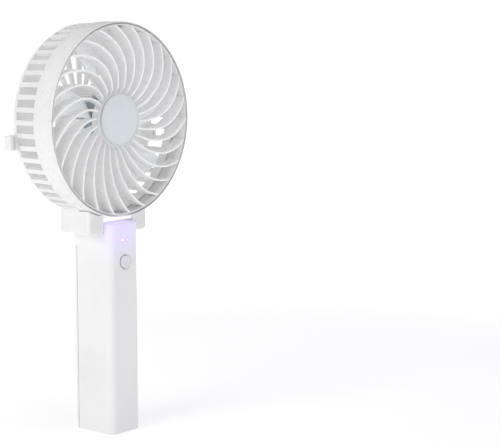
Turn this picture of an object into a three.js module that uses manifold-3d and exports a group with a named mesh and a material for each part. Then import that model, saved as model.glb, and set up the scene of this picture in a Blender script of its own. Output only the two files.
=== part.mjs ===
// Folding hand-held electric fan: a slim battery handle, and a round fan head that
// folds back over it on a pin.
//
// Millimetres, +Z up, front towards -Y. The origin is the centre of the handle's flat
// bottom. The head is built about its own centre, with the fan's axis along Y.
import * as THREE from "three";
import { mergeVertices } from "three/addons/utils/BufferGeometryUtils.js";
import Module from "manifold-3d";

const wasm = await Module();
wasm.setup();

// ---------------------------------------------------------------- driving dimensions

const fit = 0.3; // gap between pieces that touch or are clipped together
const slip = 0.5; // gap between pieces that move past each other
const past = 1; // how far a cutting shape runs past the face it opens
const sink = 0.1; // how far shapes run into each other where they are joined

// handle
const handleWall = 1.6;
const frontCorner = 4; // radius of the two upright front edges
const backCorner = 2; // radius of the two upright back edges
const leastCorner = 0.2; // smallest radius left on an upright inside edge

// battery cover, the back of the handle
const coverBelowTop = 13.3; // from the handle's top down to the cover's
const coverDepth = 3;
const coverWall = 1.4;

// battery
const cellRadius = 9.1;
const cellLength = 65;
const cellTipRadius = 2.8;
const cellTipHeight = 0.8;
const springLength = 4.6;
const springRadius = 5;
const springWire = 0.8;
const springTurns = 3;
const springTaper = 0.3; // share of its radius the spring loses towards the cell
const contactThickness = 0.5;
const contactWidth = 11;
const trayWall = 1.2;
const trayEnd = 14; // length left whole at each end of the tray's spine
const cellToSeam = 0.8; // from the cell's side to the battery cover's seam
const trayToFront = 2.9; // from the inside of the handle's front to the tray
const trayToBoard = 3.5; // from the tray's top up to the board

// board and what it carries
const boardThickness = 1.6;
const boardToSide = 0.9; // from the inside of the handle's side to the board
const boardLength = 29.8;
const boardBelowInside = 1.2; // from the inside of the handle's top to the board
const switchSide = 6;
const switchDepth = 3.1;
const plungerRadius = 1.5;
const plungerLength = 1.4;
const switchRecess = 0.1; // from the button's furthest travel to the switch's face
const socketWidth = 7.5;
const socketThickness = 2.7;
const socketLength = 5.6;
const socketWall = 0.5;
const socketInset = 0.2; // the socket's mouth, inside the handle's side
const socketRear = 1; // thickness of the socket's closed end
const tongueThickness = 0.5;
const tongueInset = 1; // from the socket's faces to the tongue's
const tongueEdge = 1.6; // from the socket's ends to the tongue's
const socketAboveBoardEnd = 4.3;
const chipSide = 5;
const chipHeight = 1.2;
const coilRadius = 2.6;
const coilHeight = 2.4;
const coilAside = 4; // from the board's middle to the coil's, across
const coilAboveChip = 8;
const boardScrewRadius = 1;
const screwHeadRadius = 1.9;
const screwHeadHeight = 1.1;
const screwReach = 4; // screw in front of the board
const postRadius = 2.3;
const postAboveBoardEnd = 6;
const postBelowBoardTop = 12;
const postInset = 2.9; // from the inside of the handle's side to a post's centre

// button and lights on the front of the handle
const buttonRadius = 3.4;
const buttonBelowTop = 20.8;
const buttonProud = 1;
const buttonTravel = 0.5;
const buttonBreak = 0.6; // width of the button's broken edge
const buttonBreakDepth = 0.5;
const flangeWidth = 0.9;
const flangeThickness = 0.6;
const lightBelowTop = 9.1;
const lightSpacing = 3.6;
const lensRadius = 0.8;
const lensProud = 0.15;
const ledSide = 1.6;
const ledHeight = 1;
const guideHeight = 4.4;
const guideThickness = 1.2;
const glowLedSide = 3;
const glowLedHeight = 1.4;
const guideOffset = 0.6; // the guide's top above the board's end, and the light's top below it

// hinge at the top of the handle's back
const hingeBehindBack = 3.2;
const hingeBelowTop = 2;
const knuckleRadius = 3.5;
const washerThickness = 0.9;
const washerShy = 0.4; // the washers' radius is this much less than the knuckle's
const pinRadius = 1.5;
const pinOverhang = 3.8; // pin beyond the handle's side, inside each ear
const capRadius = 2;
const capThickness = 0.8;
const earBehindPin = 3; // from the pin's middle to the ears' rear
const earGap = 0.4; // between the handle's side and an ear
const earThickness = 10.9;
const earTaper = 4.9; // how much thinner the ears are where their rear rounding starts
const earFrontBack = 4.6; // from the handle's front back to the ears' front
const earOverlap = 5.9; // how far the ears reach down the handle's sides
const earCorner = 5; // radius of the ears' upright rear outer edges
const earFoot = 2.2; // radius of the ears' lower edges
const earBreak = 1.5; // on the ears' front outer edges
const earReach = 0.84; // where the ears end, as a share of the ring's radius below its centre
const neckClear = 0.8; // gap between the handle's top and the neck
const neckRoot = 3; // how far the neck runs up behind the ring's lowest point
const neckSetBack = 1; // from the ears' front to the neck's

// head
const ringRadius = 51.2;
const ringWall = 1.7;
const ringDepth = 12.5;
const rimRound = 1; // radius of the ring's front outer edge
const rimBreak = 0.6; // on the ring's front inner edge
const neckGap = 2.9; // from the handle's top up to the ring
const rimBehindHandleFront = 0.4; // rim plane, measured from the handle's front face
const casingStep = 0.5; // the casing is this much smaller than the ring
const lipLength = 3.2;
const backWall = 1.6;
const lugLength = 5.4;
const lugHeight = 7.6;
const lugDepth = 5;
const lugBelowCentre = 10.4;
const lugInset = 1.5; // from the head's flat back to the lugs, and from the casing's side
const lugRoot = 3; // how far the lugs run into the casing's rounded edge

// the casing's rounded rear edge, outside and inside: how far in from its side, and how
// far before its back
const rearEdge = [
  [0.4, 5.5],
  [1.9, 2.6],
  [5, 0.6],
  [8, 0],
];
const innerRearEdge = [
  [0, 3.4],
  [2.4, 1],
  [5, 0],
];

// openings round the casing's side and over its back
const windowCount = 48;
const windowWidth = 3.8;
const windowStart = 0.6; // behind the ring's rear edge
const windowToEdge = 1.1; // from the windows' rear end to the casing's rounded edge
const slotCount = 24;
const slotToSeat = 3.3; // from the motor's seat out to the slots
const slotToSide = 5.5; // from the slots out to the inside of the casing
const slotInnerWidth = 2.6;
const slotOuterWidth = 6.8;

// front grille's swirl vanes
const vaneCount = 26;
const vaneThickness = 1.3;
const vaneSweep = 31.5; // degrees round the axis from hub to ring
const vaneCurve = 1.64; // exponent: the turn grows towards the ring
const vanePhase = 8.8; // degrees, first vane at the hub
const vaneSteps = 5;
const domeSteps = 3;
const vaneDome = 2; // how far the vanes' front swells past the line from hub to ring
const domePeak = 1.415; // exponent: moves the swell outwards
const vaneHubFront = 2.2; // behind the rim plane
const vaneBack = 7.2; // behind the rim plane
const hubRadius = 14;
const hubWall = 1.4;
const hubLength = 6;
const hubCapSkin = 1;
const hubCapSpigot = 2.4;
const hubCapSpigotWall = 1;
const hubCapBreak = 0.5; // on the cap's front edge
const hubCapBehindRim = 1.7;

// impeller
const bladeCount = 7;
const bladeTipGap = 3; // from the blades' tips to the inside of the casing
const bladeThickness = 1.4;
const bladeChord = 21;
const bladeAngle = 32; // degrees between the blade and the plane it spins in
const bladeInner = 12;
const bladeSetBack = 5.6; // from the hub's front to the blades' middle
const bladeBreak = 2; // on the blades' outer corners
const impellerHub = 13;
const impellerWall = 1.2;
const impellerLength = 7.6;
const impellerBreak = 1; // on the hub's front edge
const impellerGap = 0.3; // from the grille's hub to the impeller's
const bossRadius = 3;
const bossWall = 1;
const bossShy = 0.6; // the boss ends this far inside the hub

// motor
const canRadius = 12.4;
const canWall = 0.8;
const canLength = 12.2;
const canBreak = 0.6; // on the can's front edge
const seatWall = 1.5;
const seatFlange = 1;
const shaftRadius = 1;
const shaftSetBack = 0.5; // from the impeller's front to the shaft's
const shaftPastEndCap = 0.6;
const bushRadius = 2.6;
const bushLength = 1.6;
const bushProud = 0.5;
const endCapThickness = 1.4;
const endCapInset = 0.2;
const magnetThickness = 2.2;
const magnetApart = 5; // between the two magnets
const armatureGap = 2.1; // from the armature to the magnets
const armatureFrontGap = 1.4;
const armatureBackGap = 1.2;
const armatureSlotDepth = 2.6;
const armatureSlotWidth = 1.6;
const armatureSlots = 3;
const motorToCover = 1; // from the motor to the cover over it
const motorCoverSkin = 1.3;
const motorCoverBreak = 0.4;
const dimpleRadius = 4; // shallow dimple in the middle of the motor's cover
const dimpleDepth = 0.5;
const dimpleSlope = 1;

// ---------------------------------------------------------------- places worked out

const inSide = cellRadius + fit;
const side = inSide + handleWall;
const cellSpace = cellToSeam + 2 * cellRadius + fit + trayWall + trayToFront;
const handleDepth = coverDepth + cellSpace + handleWall;
const front = -handleDepth / 2;
const back = handleDepth / 2;
const inFront = front + handleWall;
const seam = back - coverDepth;

const cellBottom = handleWall + 2 * fit + trayWall + contactThickness + fit + springLength + fit;
const cellTop = cellBottom + cellLength;
const cellY = seam - cellToSeam - cellRadius;
const tipContactZ = cellTop + cellTipHeight + fit;
const trayBottom = handleWall + fit;
const trayTop = tipContactZ + contactThickness + fit + trayWall;
const trayBack = cellY - cellRadius - fit;

const boardEnd = trayTop + trayToBoard;
const boardTop = boardEnd + boardLength;
const handleHeight = boardTop + boardBelowInside + handleWall;
const coverHeight = handleHeight - coverBelowTop;
const buttonZ = handleHeight - buttonBelowTop;
const lightZ = handleHeight - lightBelowTop;

const flangeFront = inFront + fit;
const flangeBack = flangeFront + flangeThickness;
const plungerFront = flangeBack + fit;
const switchFront = plungerFront + buttonTravel + switchRecess;
const switchBack = switchFront + switchDepth;
const boardFront = switchBack + fit;
const boardBack = boardFront + boardThickness;

const hingeY = back + hingeBehindBack;
const hingeZ = handleHeight - hingeBelowTop;
const earInner = side + earGap;
const washerInner = earInner - fit - washerThickness;
const knuckleHalf = washerInner - fit;
const earOuter = earInner + earThickness;
const earFront = front + earFrontBack;
const earBack = hingeY + earBehindPin;
const earBottom = handleHeight - earOverlap;
const pinHalf = side + pinOverhang;
const capInner = pinHalf + fit;

const rimY = front + rimBehindHandleFront;
const headZ = handleHeight + neckGap + ringRadius;
const ringBack = rimY + ringDepth;
const casingFront = ringBack + fit;
const casingRadius = ringRadius - casingStep;
const ringInner = ringRadius - ringWall;
const lipOuter = ringInner - fit;
const casingInner = lipOuter - ringWall;
const bladeTip = casingInner - bladeTipGap;
const hubCapFront = rimY + hubCapBehindRim;
const vaneBackY = rimY + vaneBack;
const hubFront = hubCapFront + hubCapSkin + fit;

const impellerFront = hubFront + hubLength + impellerGap;
const impellerBack = impellerFront + impellerLength;
const seatFront = impellerBack + slip;
const canFront = seatFront + seatFlange + fit;
const canBack = canFront + canLength;
const headBack = canBack + motorToCover + motorCoverSkin;
const insideBack = headBack - backWall;
const magnetOuter = canRadius - canWall - fit;
const magnetInner = magnetOuter - magnetThickness;
const armatureRadius = magnetInner - armatureGap;
const seatInner = canRadius + fit;
const seatOuter = seatInner + seatWall;
const shaftFront = impellerFront + shaftSetBack;
const shaftBack = canBack - endCapThickness + shaftPastEndCap;

// ---------------------------------------------------------------- solids

// A closed three.js geometry as a manifold solid, with its faces turned outwards.
function solid(geometry) {
  geometry.deleteAttribute("normal");
  geometry.deleteAttribute("uv");
  const merged = mergeVertices(geometry);
  const data = {
    numProp: 3,
    vertProperties: new Float32Array(merged.attributes.position.array),
    triVerts: new Uint32Array(merged.index.array),
  };
  const made = new wasm.Manifold(new wasm.Mesh(data));
  if (made.volume() > 0) return made;
  data.triVerts.reverse();
  return new wasm.Manifold(new wasm.Mesh(data));
}

function joined(solids) {
  return solids.reduce((whole, one) => whole.add(one));
}

function cut(body, ...tools) {
  return tools.reduce((left, tool) => left.subtract(tool), body);
}

function box(x0, x1, y0, y1, z0, z1) {
  const geometry = new THREE.BoxGeometry(x1 - x0, y1 - y0, z1 - z0);
  return solid(geometry.translate((x0 + x1) / 2, (y0 + y1) / 2, (z0 + z1) / 2));
}

// A round bar along X, Y or Z, from one place on that axis to another.
function bar(axis, radius, from, to, centre = [0, 0, 0], sides = 16) {
  const geometry = new THREE.CylinderGeometry(radius, radius, to - from, sides);
  if (axis === "x") geometry.rotateZ(-Math.PI / 2);
  if (axis === "z") geometry.rotateX(Math.PI / 2);
  const place = [...centre];
  place["xyz".indexOf(axis)] = (from + to) / 2;
  return solid(geometry.translate(...place));
}

function pipe(axis, outer, inner, from, to, centre, sides) {
  return cut(
    bar(axis, outer, from, to, centre, sides),
    bar(axis, inner, from - past, to + past, centre, sides),
  );
}

// A profile of [radius, y] points turned about Y. A ring's profile closes on itself.
function turned(profile, sides = 32) {
  const points = profile.map(([radius, y]) => new THREE.Vector2(radius, y));
  if (profile[0][0] > 0) points.push(points[0].clone());
  return solid(new THREE.LatheGeometry(points, sides));
}

// A shape drawn from the front, in x and z, with its thickness along Y.
function plate(shape, y0, y1, curveSegments = 6) {
  const geometry = new THREE.ExtrudeGeometry(shape, {
    depth: y1 - y0,
    bevelEnabled: false,
    curveSegments,
  });
  return solid(geometry.rotateX(Math.PI / 2).translate(0, y1, 0));
}

// A shape drawn from above, in x and y, with its height along Z.
function column(shape, z0, z1, curveSegments = 5) {
  const geometry = new THREE.ExtrudeGeometry(shape, {
    depth: z1 - z0,
    bevelEnabled: false,
    curveSegments,
  });
  return solid(geometry.translate(0, 0, z0));
}

// A rectangle with one radius at its two y0 corners and another at its two y1 corners.
function roundedRectangle(x0, x1, y0, y1, radius0, radius1) {
  const shape = new THREE.Shape();
  shape.absarc(x0 + radius0, y0 + radius0, radius0, Math.PI, Math.PI * 1.5);
  shape.absarc(x1 - radius0, y0 + radius0, radius0, Math.PI * 1.5, Math.PI * 2);
  shape.absarc(x1 - radius1, y1 - radius1, radius1, 0, Math.PI * 0.5);
  shape.absarc(x0 + radius1, y1 - radius1, radius1, Math.PI * 0.5, Math.PI);
  shape.closePath();
  return shape;
}

function polygon(points) {
  return new THREE.Shape(points.map(([x, y]) => new THREE.Vector2(x, y)));
}

function aroundAxis(shape, angle) {
  return shape.rotate([0, -THREE.MathUtils.radToDeg(angle), 0]);
}

// Two places along X on one hand of the middle, the lower one first.
function stretch(hand, near, far) {
  return hand > 0 ? [near, far] : [-far, -near];
}

// ---------------------------------------------------------------- materials

function plastic(color, roughness = 0.35) {
  return new THREE.MeshStandardMaterial({ color, roughness, metalness: 0 });
}

function metal(color, roughness = 0.3) {
  return new THREE.MeshStandardMaterial({ color, roughness, metalness: 1 });
}

const materials = {
  shell: plastic(0xf4f3f5),
  ring: plastic(0xecebf2),
  grille: plastic(0xf1f0f3, 0.3),
  hubCap: plastic(0xd9dce6, 0.25),
  button: plastic(0xe6e6ec, 0.3),
  impeller: plastic(0xeef1f6, 0.3),
  lens: plastic(0xe9e4ff, 0.1),
  diffuser: plastic(0xcfc6ff, 0.4),
  wrap: plastic(0x6fa3c7, 0.4),
  board: plastic(0x1f5a3a, 0.5),
  black: plastic(0x1c1c1e, 0.5),
  chip: plastic(0x2a2a2d, 0.4),
  led: plastic(0xf6f2d8, 0.3),
  magnet: plastic(0x3a3a3d, 0.6),
  steel: metal(0xc4c6ca),
  nickel: metal(0xd6d3c8, 0.25),
  brass: metal(0xc9a24b, 0.3),
  copper: metal(0xb4693a, 0.35),
};

function part(name, shape, material) {
  const data = shape.getMesh();
  const geometry = new THREE.BufferGeometry();
  geometry.setAttribute("position", new THREE.BufferAttribute(data.vertProperties, 3));
  geometry.setIndex(new THREE.BufferAttribute(data.triVerts, 1));
  geometry.computeVertexNormals();
  const mesh = new THREE.Mesh(geometry, material);
  mesh.name = name;
  return mesh;
}

// ---------------------------------------------------------------- handle

function handlePlan(inset) {
  return roundedRectangle(
    inset - side,
    side - inset,
    front + inset,
    back - inset,
    frontCorner - inset,
    Math.max(backCorner - inset, leastCorner),
  );
}

function screwPlaces() {
  return [
    { x: postInset - inSide, z: boardEnd + postAboveBoardEnd },
    { x: inSide - postInset, z: boardTop - postBelowBoardTop },
  ];
}

function handleShell() {
  const body = column(handlePlan(0), 0, handleHeight);
  const hollow = column(handlePlan(handleWall), handleWall, handleHeight - handleWall);
  const coverSpace = box(-side - past, side + past, seam, back + past, -past, coverHeight);
  const knuckle = joined([
    bar("x", knuckleRadius, -knuckleHalf, knuckleHalf, [0, hingeY, hingeZ], 32),
    box(
      -knuckleHalf,
      knuckleHalf,
      back - handleWall,
      hingeY,
      hingeZ - knuckleRadius,
      handleHeight,
    ),
  ]);
  const notches = [-1, 1].map((hand) => {
    const [x0, x1] = stretch(hand, knuckleHalf, side + past);
    return bar("x", knuckleRadius + fit, x0, x1, [0, hingeY, hingeZ], 32);
  });
  const pinBore = bar("x", pinRadius + fit, -side - past, side + past, [0, hingeY, hingeZ]);
  const [y0, y1] = [front - past, inFront + past];
  const buttonHole = bar("y", buttonRadius + fit, y0, y1, [0, 0, buttonZ]);
  const lightHoles = [-1, 1].map((hand) =>
    bar("y", lensRadius + fit, y0, y1, [(hand * lightSpacing) / 2, 0, lightZ]),
  );
  const socketZ = boardEnd + socketAboveBoardEnd;
  const socketHole = box(
    inSide - past,
    side + past,
    boardFront - fit - socketThickness - fit,
    boardFront,
    socketZ - fit,
    socketZ + socketWidth + fit,
  );
  const posts = screwPlaces().map(({ x, z }) =>
    pipe("y", postRadius, boardScrewRadius + fit, inFront - sink, boardFront - fit, [x, 0, z]),
  );
  const shell = cut(body, hollow, coverSpace).add(knuckle);
  return cut(shell.add(joined(posts)), ...notches, pinBore, buttonHole, ...lightHoles, socketHole);
}

function batteryCover() {
  const seamFace = seam + fit;
  const top = coverHeight - fit;
  const block = column(handlePlan(0), 0, top);
  const beforeSeam = box(-side - past, side + past, front - past, seamFace, -past, top + past);
  const hollow = column(handlePlan(coverWall), coverWall, top - coverWall);
  return cut(block, beforeSeam, hollow);
}

function batteryCell() {
  return bar("z", cellRadius, cellBottom, cellTop, [0, cellY, 0], 32).add(
    bar("z", cellTipRadius, cellTop - sink, cellTop + cellTipHeight, [0, cellY, 0], 20),
  );
}

// The negative contact: a wire spring of a few turns that narrows towards the cell.
class SpringLine extends THREE.Curve {
  getPoint(t) {
    const angle = t * springTurns * Math.PI * 2;
    const radius = springRadius * (1 - springTaper * t) - springWire / 2;
    const rise = springWire / 2 + t * (springLength - springWire);
    const z = cellBottom - fit - springLength + rise;
    return new THREE.Vector3(radius * Math.cos(angle), cellY + radius * Math.sin(angle), z);
  }
}

function batterySpring() {
  const wire = new THREE.Shape();
  wire.absarc(0, 0, springWire / 2, 0, Math.PI * 2);
  const geometry = new THREE.ExtrudeGeometry(wire, {
    extrudePath: new SpringLine(),
    steps: 36,
    curveSegments: 3,
  });
  return solid(geometry);
}

function contactPlate(z) {
  const half = contactWidth / 2;
  return box(-half, half, cellY - half, cellY + half, z, z + contactThickness);
}

function batteryTray() {
  const half = inSide - fit;
  const floor = trayBack - trayWall;
  const spine = box(-half, half, floor, trayBack, trayBottom, trayTop);
  const endDepth = cellY + contactWidth / 2;
  const foot = box(-half, half, floor, endDepth, trayBottom, trayBottom + trayWall);
  const head = box(-half, half, floor, endDepth, trayTop - trayWall, trayTop);
  const window = box(
    -half / 2,
    half / 2,
    floor - past,
    trayBack + past,
    trayBottom + trayEnd,
    trayTop - trayEnd,
  );
  return cut(joined([spine, foot, head]), window);
}

function controlBoard() {
  const half = inSide - boardToSide;
  const board = box(-half, half, boardFront, boardBack, boardEnd, boardTop);
  const holes = screwPlaces().map(({ x, z }) =>
    bar("y", boardScrewRadius + fit, boardFront - past, boardBack + past, [x, 0, z]),
  );
  return cut(board, ...holes);
}

function boardScrew({ x, z }) {
  const headFront = boardBack + fit;
  return joined([
    bar("y", screwHeadRadius, headFront, headFront + screwHeadHeight, [x, 0, z], 20),
    bar("y", boardScrewRadius, boardFront - screwReach, headFront + sink, [x, 0, z], 12),
  ]);
}

function usbSocket() {
  const z = boardEnd + socketAboveBoardEnd;
  const y1 = boardFront - fit;
  const y0 = y1 - socketThickness;
  const x1 = side - socketInset;
  const x0 = x1 - socketLength;
  const shell = box(x0, x1, y0, y1, z, z + socketWidth);
  const mouth = box(
    x0 + socketRear,
    x1 + past,
    y0 + socketWall,
    y1 - socketWall,
    z + socketWall,
    z + socketWidth - socketWall,
  );
  const tongue = box(
    x0 + socketRear - sink,
    x1 - tongueInset,
    y1 - tongueInset - tongueThickness,
    y1 - tongueInset,
    z + tongueEdge,
    z + socketWidth - tongueEdge,
  );
  return cut(shell, mouth).add(tongue);
}

function switchBody() {
  const half = switchSide / 2;
  const body = box(-half, half, switchFront, switchBack, buttonZ - half, buttonZ + half);
  const well = bar(
    "y",
    plungerRadius + fit,
    switchFront - past,
    plungerFront + plungerLength + buttonTravel + fit,
    [0, 0, buttonZ],
  );
  return cut(body, well);
}

function switchPlunger() {
  const end = plungerFront + plungerLength;
  return bar("y", plungerRadius, plungerFront, end, [0, 0, buttonZ]);
}

function powerButton() {
  const face = front - buttonProud;
  const crown = turned(
    [
      [0, face],
      [buttonRadius - buttonBreak, face],
      [buttonRadius, face + buttonBreakDepth],
      [buttonRadius, flangeFront],
      [buttonRadius + flangeWidth, flangeFront],
      [buttonRadius + flangeWidth, flangeBack],
      [0, flangeBack],
    ],
    28,
  );
  return crown.translate([0, 0, buttonZ]);
}

function lightLens(hand) {
  const x = (hand * lightSpacing) / 2;
  return bar("y", lensRadius, front - lensProud, inFront, [x, 0, lightZ]);
}

function lightLed(hand) {
  const x = (hand * lightSpacing) / 2;
  const half = ledSide / 2;
  const y = boardFront - fit;
  return box(x - half, x + half, y - ledHeight, y, lightZ - half, lightZ + half);
}

function glowLed() {
  const half = glowLedSide / 2;
  const y = boardFront - fit;
  const top = boardTop - guideOffset;
  return box(-half, half, y - glowLedHeight, y, top - glowLedSide, top);
}

function lightGuide() {
  const top = boardTop + guideOffset;
  const halfWidth = inSide - frontCorner + handleWall;
  const y0 = inFront + fit;
  return box(-halfWidth, halfWidth, y0, y0 + guideThickness, top - guideHeight, top);
}

function chargeChip() {
  const y0 = boardBack + fit;
  const half = chipSide / 2;
  const z = (boardEnd + boardTop) / 2;
  return box(-half, half, y0, y0 + chipHeight, z - half, z + half);
}

function boostCoil() {
  const y0 = boardBack + fit;
  const z = (boardEnd + boardTop) / 2 + coilAboveChip;
  return bar("y", coilRadius, y0, y0 + coilHeight, [-coilAside, 0, z]);
}

// ---------------------------------------------------------------- hinge

function hingePin() {
  return bar("x", pinRadius, -pinHalf, pinHalf, [0, hingeY, hingeZ], 24);
}

function hingeWasher(hand) {
  const [x0, x1] = stretch(hand, washerInner, washerInner + washerThickness);
  const centre = [0, hingeY, hingeZ];
  return pipe("x", knuckleRadius - washerShy, pinRadius + fit, x0, x1, centre, 24);
}

function hingeCap(hand) {
  const [x0, x1] = stretch(hand, capInner, capInner + capThickness);
  return bar("x", capRadius, x0, x1, [0, hingeY, hingeZ], 24);
}

// ---------------------------------------------------------------- head

// How far the vanes' front edge lies along Y, at a share of the way from hub to ring.
function vaneFrontY(share) {
  const line = vaneHubFront * (1 - share);
  return rimY + line - vaneDome * Math.sin(Math.PI * share ** domePeak);
}

function vaneShape(first) {
  const inner = hubRadius - hubWall / 2;
  const outer = ringInner + ringWall / 2;
  const left = [];
  const right = [];
  for (let step = 0; step <= vaneSteps; step += 1) {
    const share = step / vaneSteps;
    const radius = inner + (outer - inner) * share;
    const angle = first + THREE.MathUtils.degToRad(vaneSweep) * share ** vaneCurve;
    const lean = Math.atan(
      THREE.MathUtils.degToRad(vaneSweep) * vaneCurve * share ** (vaneCurve - 1) *
        (radius / (outer - inner)),
    );
    const across = angle + lean + Math.PI / 2;
    const x = radius * Math.cos(angle);
    const z = radius * Math.sin(angle);
    const half = vaneThickness / 2;
    left.push([x + half * Math.cos(across), z + half * Math.sin(across)]);
    right.push([x - half * Math.cos(across), z - half * Math.sin(across)]);
  }
  // the front is seen looking along +Y, and plate() lays a shape's y downwards
  return polygon([...left, ...right.reverse()].map(([x, z]) => [x, -z]));
}

function frontGrille() {
  const outer = ringInner + ringWall / 2;
  const inner = hubRadius + fit;
  const domePoints = [];
  for (let step = 0; step <= domeSteps; step += 1) {
    const share = step / domeSteps;
    domePoints.push([inner + (outer - inner) * share, vaneFrontY(share)]);
  }
  const envelope = turned(
    [
      [hubRadius - hubWall / 2, vaneBackY],
      [hubRadius - hubWall / 2, hubFront],
      [hubRadius + fit, hubFront],
      ...domePoints,
      [outer, vaneBackY],
    ],
    vaneCount,
  );
  const vanes = [];
  for (let index = 0; index < vaneCount; index += 1) {
    const first = THREE.MathUtils.degToRad(vanePhase + (360 / vaneCount) * index);
    vanes.push(plate(vaneShape(first), rimY - vaneDome - past, vaneBackY));
  }
  const easing = rimRound * (1 - Math.SQRT1_2);
  const ring = turned(
    [
      [ringInner, ringBack],
      [ringInner, rimY + rimBreak],
      [ringInner + rimBreak, rimY],
      [ringRadius - rimRound, rimY],
      [ringRadius - easing, rimY + easing],
      [ringRadius, rimY + rimRound],
      [ringRadius, ringBack],
    ],
    2 * vaneCount,
  );
  const hub = turned(
    [
      [hubRadius - hubWall, hubFront],
      [hubRadius, hubFront],
      [hubRadius, hubFront + hubLength],
      [hubRadius - hubWall, hubFront + hubLength],
    ],
    vaneCount,
  );
  return joined([joined(vanes).intersect(envelope), ring, hub]);
}

function hubCap() {
  const spigot = hubRadius - hubWall - fit;
  return turned(
    [
      [0, hubCapFront],
      [hubRadius - hubCapBreak, hubCapFront],
      [hubRadius, hubCapFront + hubCapBreak],
      [hubRadius, hubCapFront + hubCapSkin],
      [spigot, hubCapFront + hubCapSkin],
      [spigot, hubCapFront + hubCapSkin + hubCapSpigot],
      [spigot - hubCapSpigotWall, hubCapFront + hubCapSkin + hubCapSpigot],
      [spigot - hubCapSpigotWall, hubCapFront + hubCapSkin],
      [0, hubCapFront + hubCapSkin],
    ],
    vaneCount,
  );
}

// One ear of the fork, as a block seen from above and rounded off at its foot.
function ear(hand) {
  const high = headZ - ringRadius * earReach;
  const plan = new THREE.Shape();
  plan.moveTo(earInner, earFront);
  plan.lineTo(earOuter - earBreak, earFront);
  plan.lineTo(earOuter, earFront + earBreak);
  const rear = earOuter - earTaper;
  plan.lineTo(rear, earBack - earCorner);
  plan.absarc(rear - earCorner, earBack - earCorner, earCorner, 0, Math.PI / 2);
  plan.lineTo(earInner, earBack);
  plan.closePath();
  const block = column(plan, earBottom, high);
  const foot = roundedRectangle(earFront, earBack, earBottom, high + 2 * past, earFoot, past);
  const across = new THREE.ExtrudeGeometry(foot, {
    depth: earOuter + past,
    bevelEnabled: false,
    curveSegments: 4,
  });
  const yz = new THREE.Matrix4().makeBasis(
    new THREE.Vector3(0, 1, 0),
    new THREE.Vector3(0, 0, 1),
    new THREE.Vector3(1, 0, 0),
  );
  const shape = block.intersect(solid(across.applyMatrix4(yz)));
  return hand > 0 ? shape : shape.mirror([1, 0, 0]);
}

function casingProfile() {
  return [
    [casingInner, ringBack - lipLength],
    [lipOuter, ringBack - lipLength],
    [lipOuter, casingFront],
    [casingRadius, casingFront],
    ...rearEdge.map(([inwards, forwards]) => [casingRadius - inwards, headBack - forwards]),
    [0, headBack],
  ];
}

function casingSlots() {
  const windowEnd = headBack - rearEdge[0][1] - windowToEdge;
  const slotInner = seatOuter + slotToSeat;
  const slotOuter = casingInner - slotToSide;
  const cuts = [];
  for (let index = 0; index < windowCount; index += 1) {
    const opening = box(
      casingInner - past,
      casingRadius + past,
      casingFront + windowStart,
      windowEnd,
      -windowWidth / 2,
      windowWidth / 2,
    );
    cuts.push(aroundAxis(opening, ((index + 0.5) * 2 * Math.PI) / windowCount));
  }
  for (let index = 0; index < slotCount; index += 1) {
    const slot = plate(
      polygon([
        [slotInner, -slotInnerWidth / 2],
        [slotOuter, -slotOuterWidth / 2],
        [slotOuter, slotOuterWidth / 2],
        [slotInner, slotInnerWidth / 2],
      ]),
      insideBack - past,
      headBack + past,
    );
    cuts.push(aroundAxis(slot, ((index + 0.5) * 2 * Math.PI) / slotCount));
  }
  return cuts;
}

function rearCover() {
  const outside = turned([[0, ringBack - lipLength], ...casingProfile()], windowCount);
  const inside = turned(
    [
      [0, ringBack - lipLength - past],
      [casingInner, ringBack - lipLength - past],
      ...innerRearEdge.map(([inwards, forwards]) => [casingInner - inwards, insideBack - forwards]),
      [0, insideBack],
    ],
    windowCount,
  );
  const lugs = [-1, 1].map((hand) => {
    const [x0, x1] = stretch(hand, casingRadius - lugRoot, casingRadius - lugInset + lugLength);
    const y1 = headBack - lugInset;
    const z0 = -lugBelowCentre - lugHeight / 2;
    return box(x0, x1, y1 - lugDepth, y1, z0, z0 + lugHeight);
  });
  const neck = box(
    -earInner - past,
    earInner + past,
    earFront + neckSetBack,
    hingeY - knuckleRadius - slip,
    handleHeight + neckClear,
    headZ - ringRadius + neckRoot,
  );
  const fork = joined([ear(-1), ear(1), neck]).translate([0, 0, -headZ]);
  const ringSpace = turned(
    [
      [0, rimY - past],
      [ringRadius + fit, rimY - past],
      [ringRadius + fit, casingFront],
      [0, casingFront],
    ],
    windowCount,
  );
  const forkOutside = cut(fork, ringSpace);
  const shell = cut(outside.add(forkOutside).add(joined(lugs)), inside, joined(casingSlots()));
  const seat = cut(
    bar("y", seatOuter, seatFront, headBack - sink, [0, 0, 0], 32),
    bar("y", bushRadius + 2 * fit, seatFront - past, headBack + past),
    bar("y", seatInner, seatFront + seatFlange, headBack + past, [0, 0, 0], 32),
  );
  const backHole = bar("y", seatInner, insideBack - past, headBack + past, [0, 0, 0], 32);
  const pivot = [0, hingeY, hingeZ - headZ];
  const pinBore = bar("x", pinRadius + fit, -pinHalf - sink, pinHalf + sink, pivot);
  const wells = [-1, 1].map((hand) => {
    const [x0, x1] = stretch(hand, pinHalf, earOuter + past);
    return bar("x", capRadius + fit, x0, x1, pivot, 24);
  });
  return cut(cut(shell, backHole).add(seat), pinBore, ...wells);
}

function motorCover() {
  return turned(
    [
      [0, headBack - motorCoverSkin],
      [seatInner - fit, headBack - motorCoverSkin],
      [seatInner - fit, headBack - motorCoverBreak],
      [seatInner - fit - motorCoverBreak, headBack],
      [dimpleRadius, headBack],
      [dimpleRadius - dimpleSlope, headBack - dimpleDepth],
      [0, headBack - dimpleDepth],
    ],
  );
}

// ---------------------------------------------------------------- motor and impeller

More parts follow.
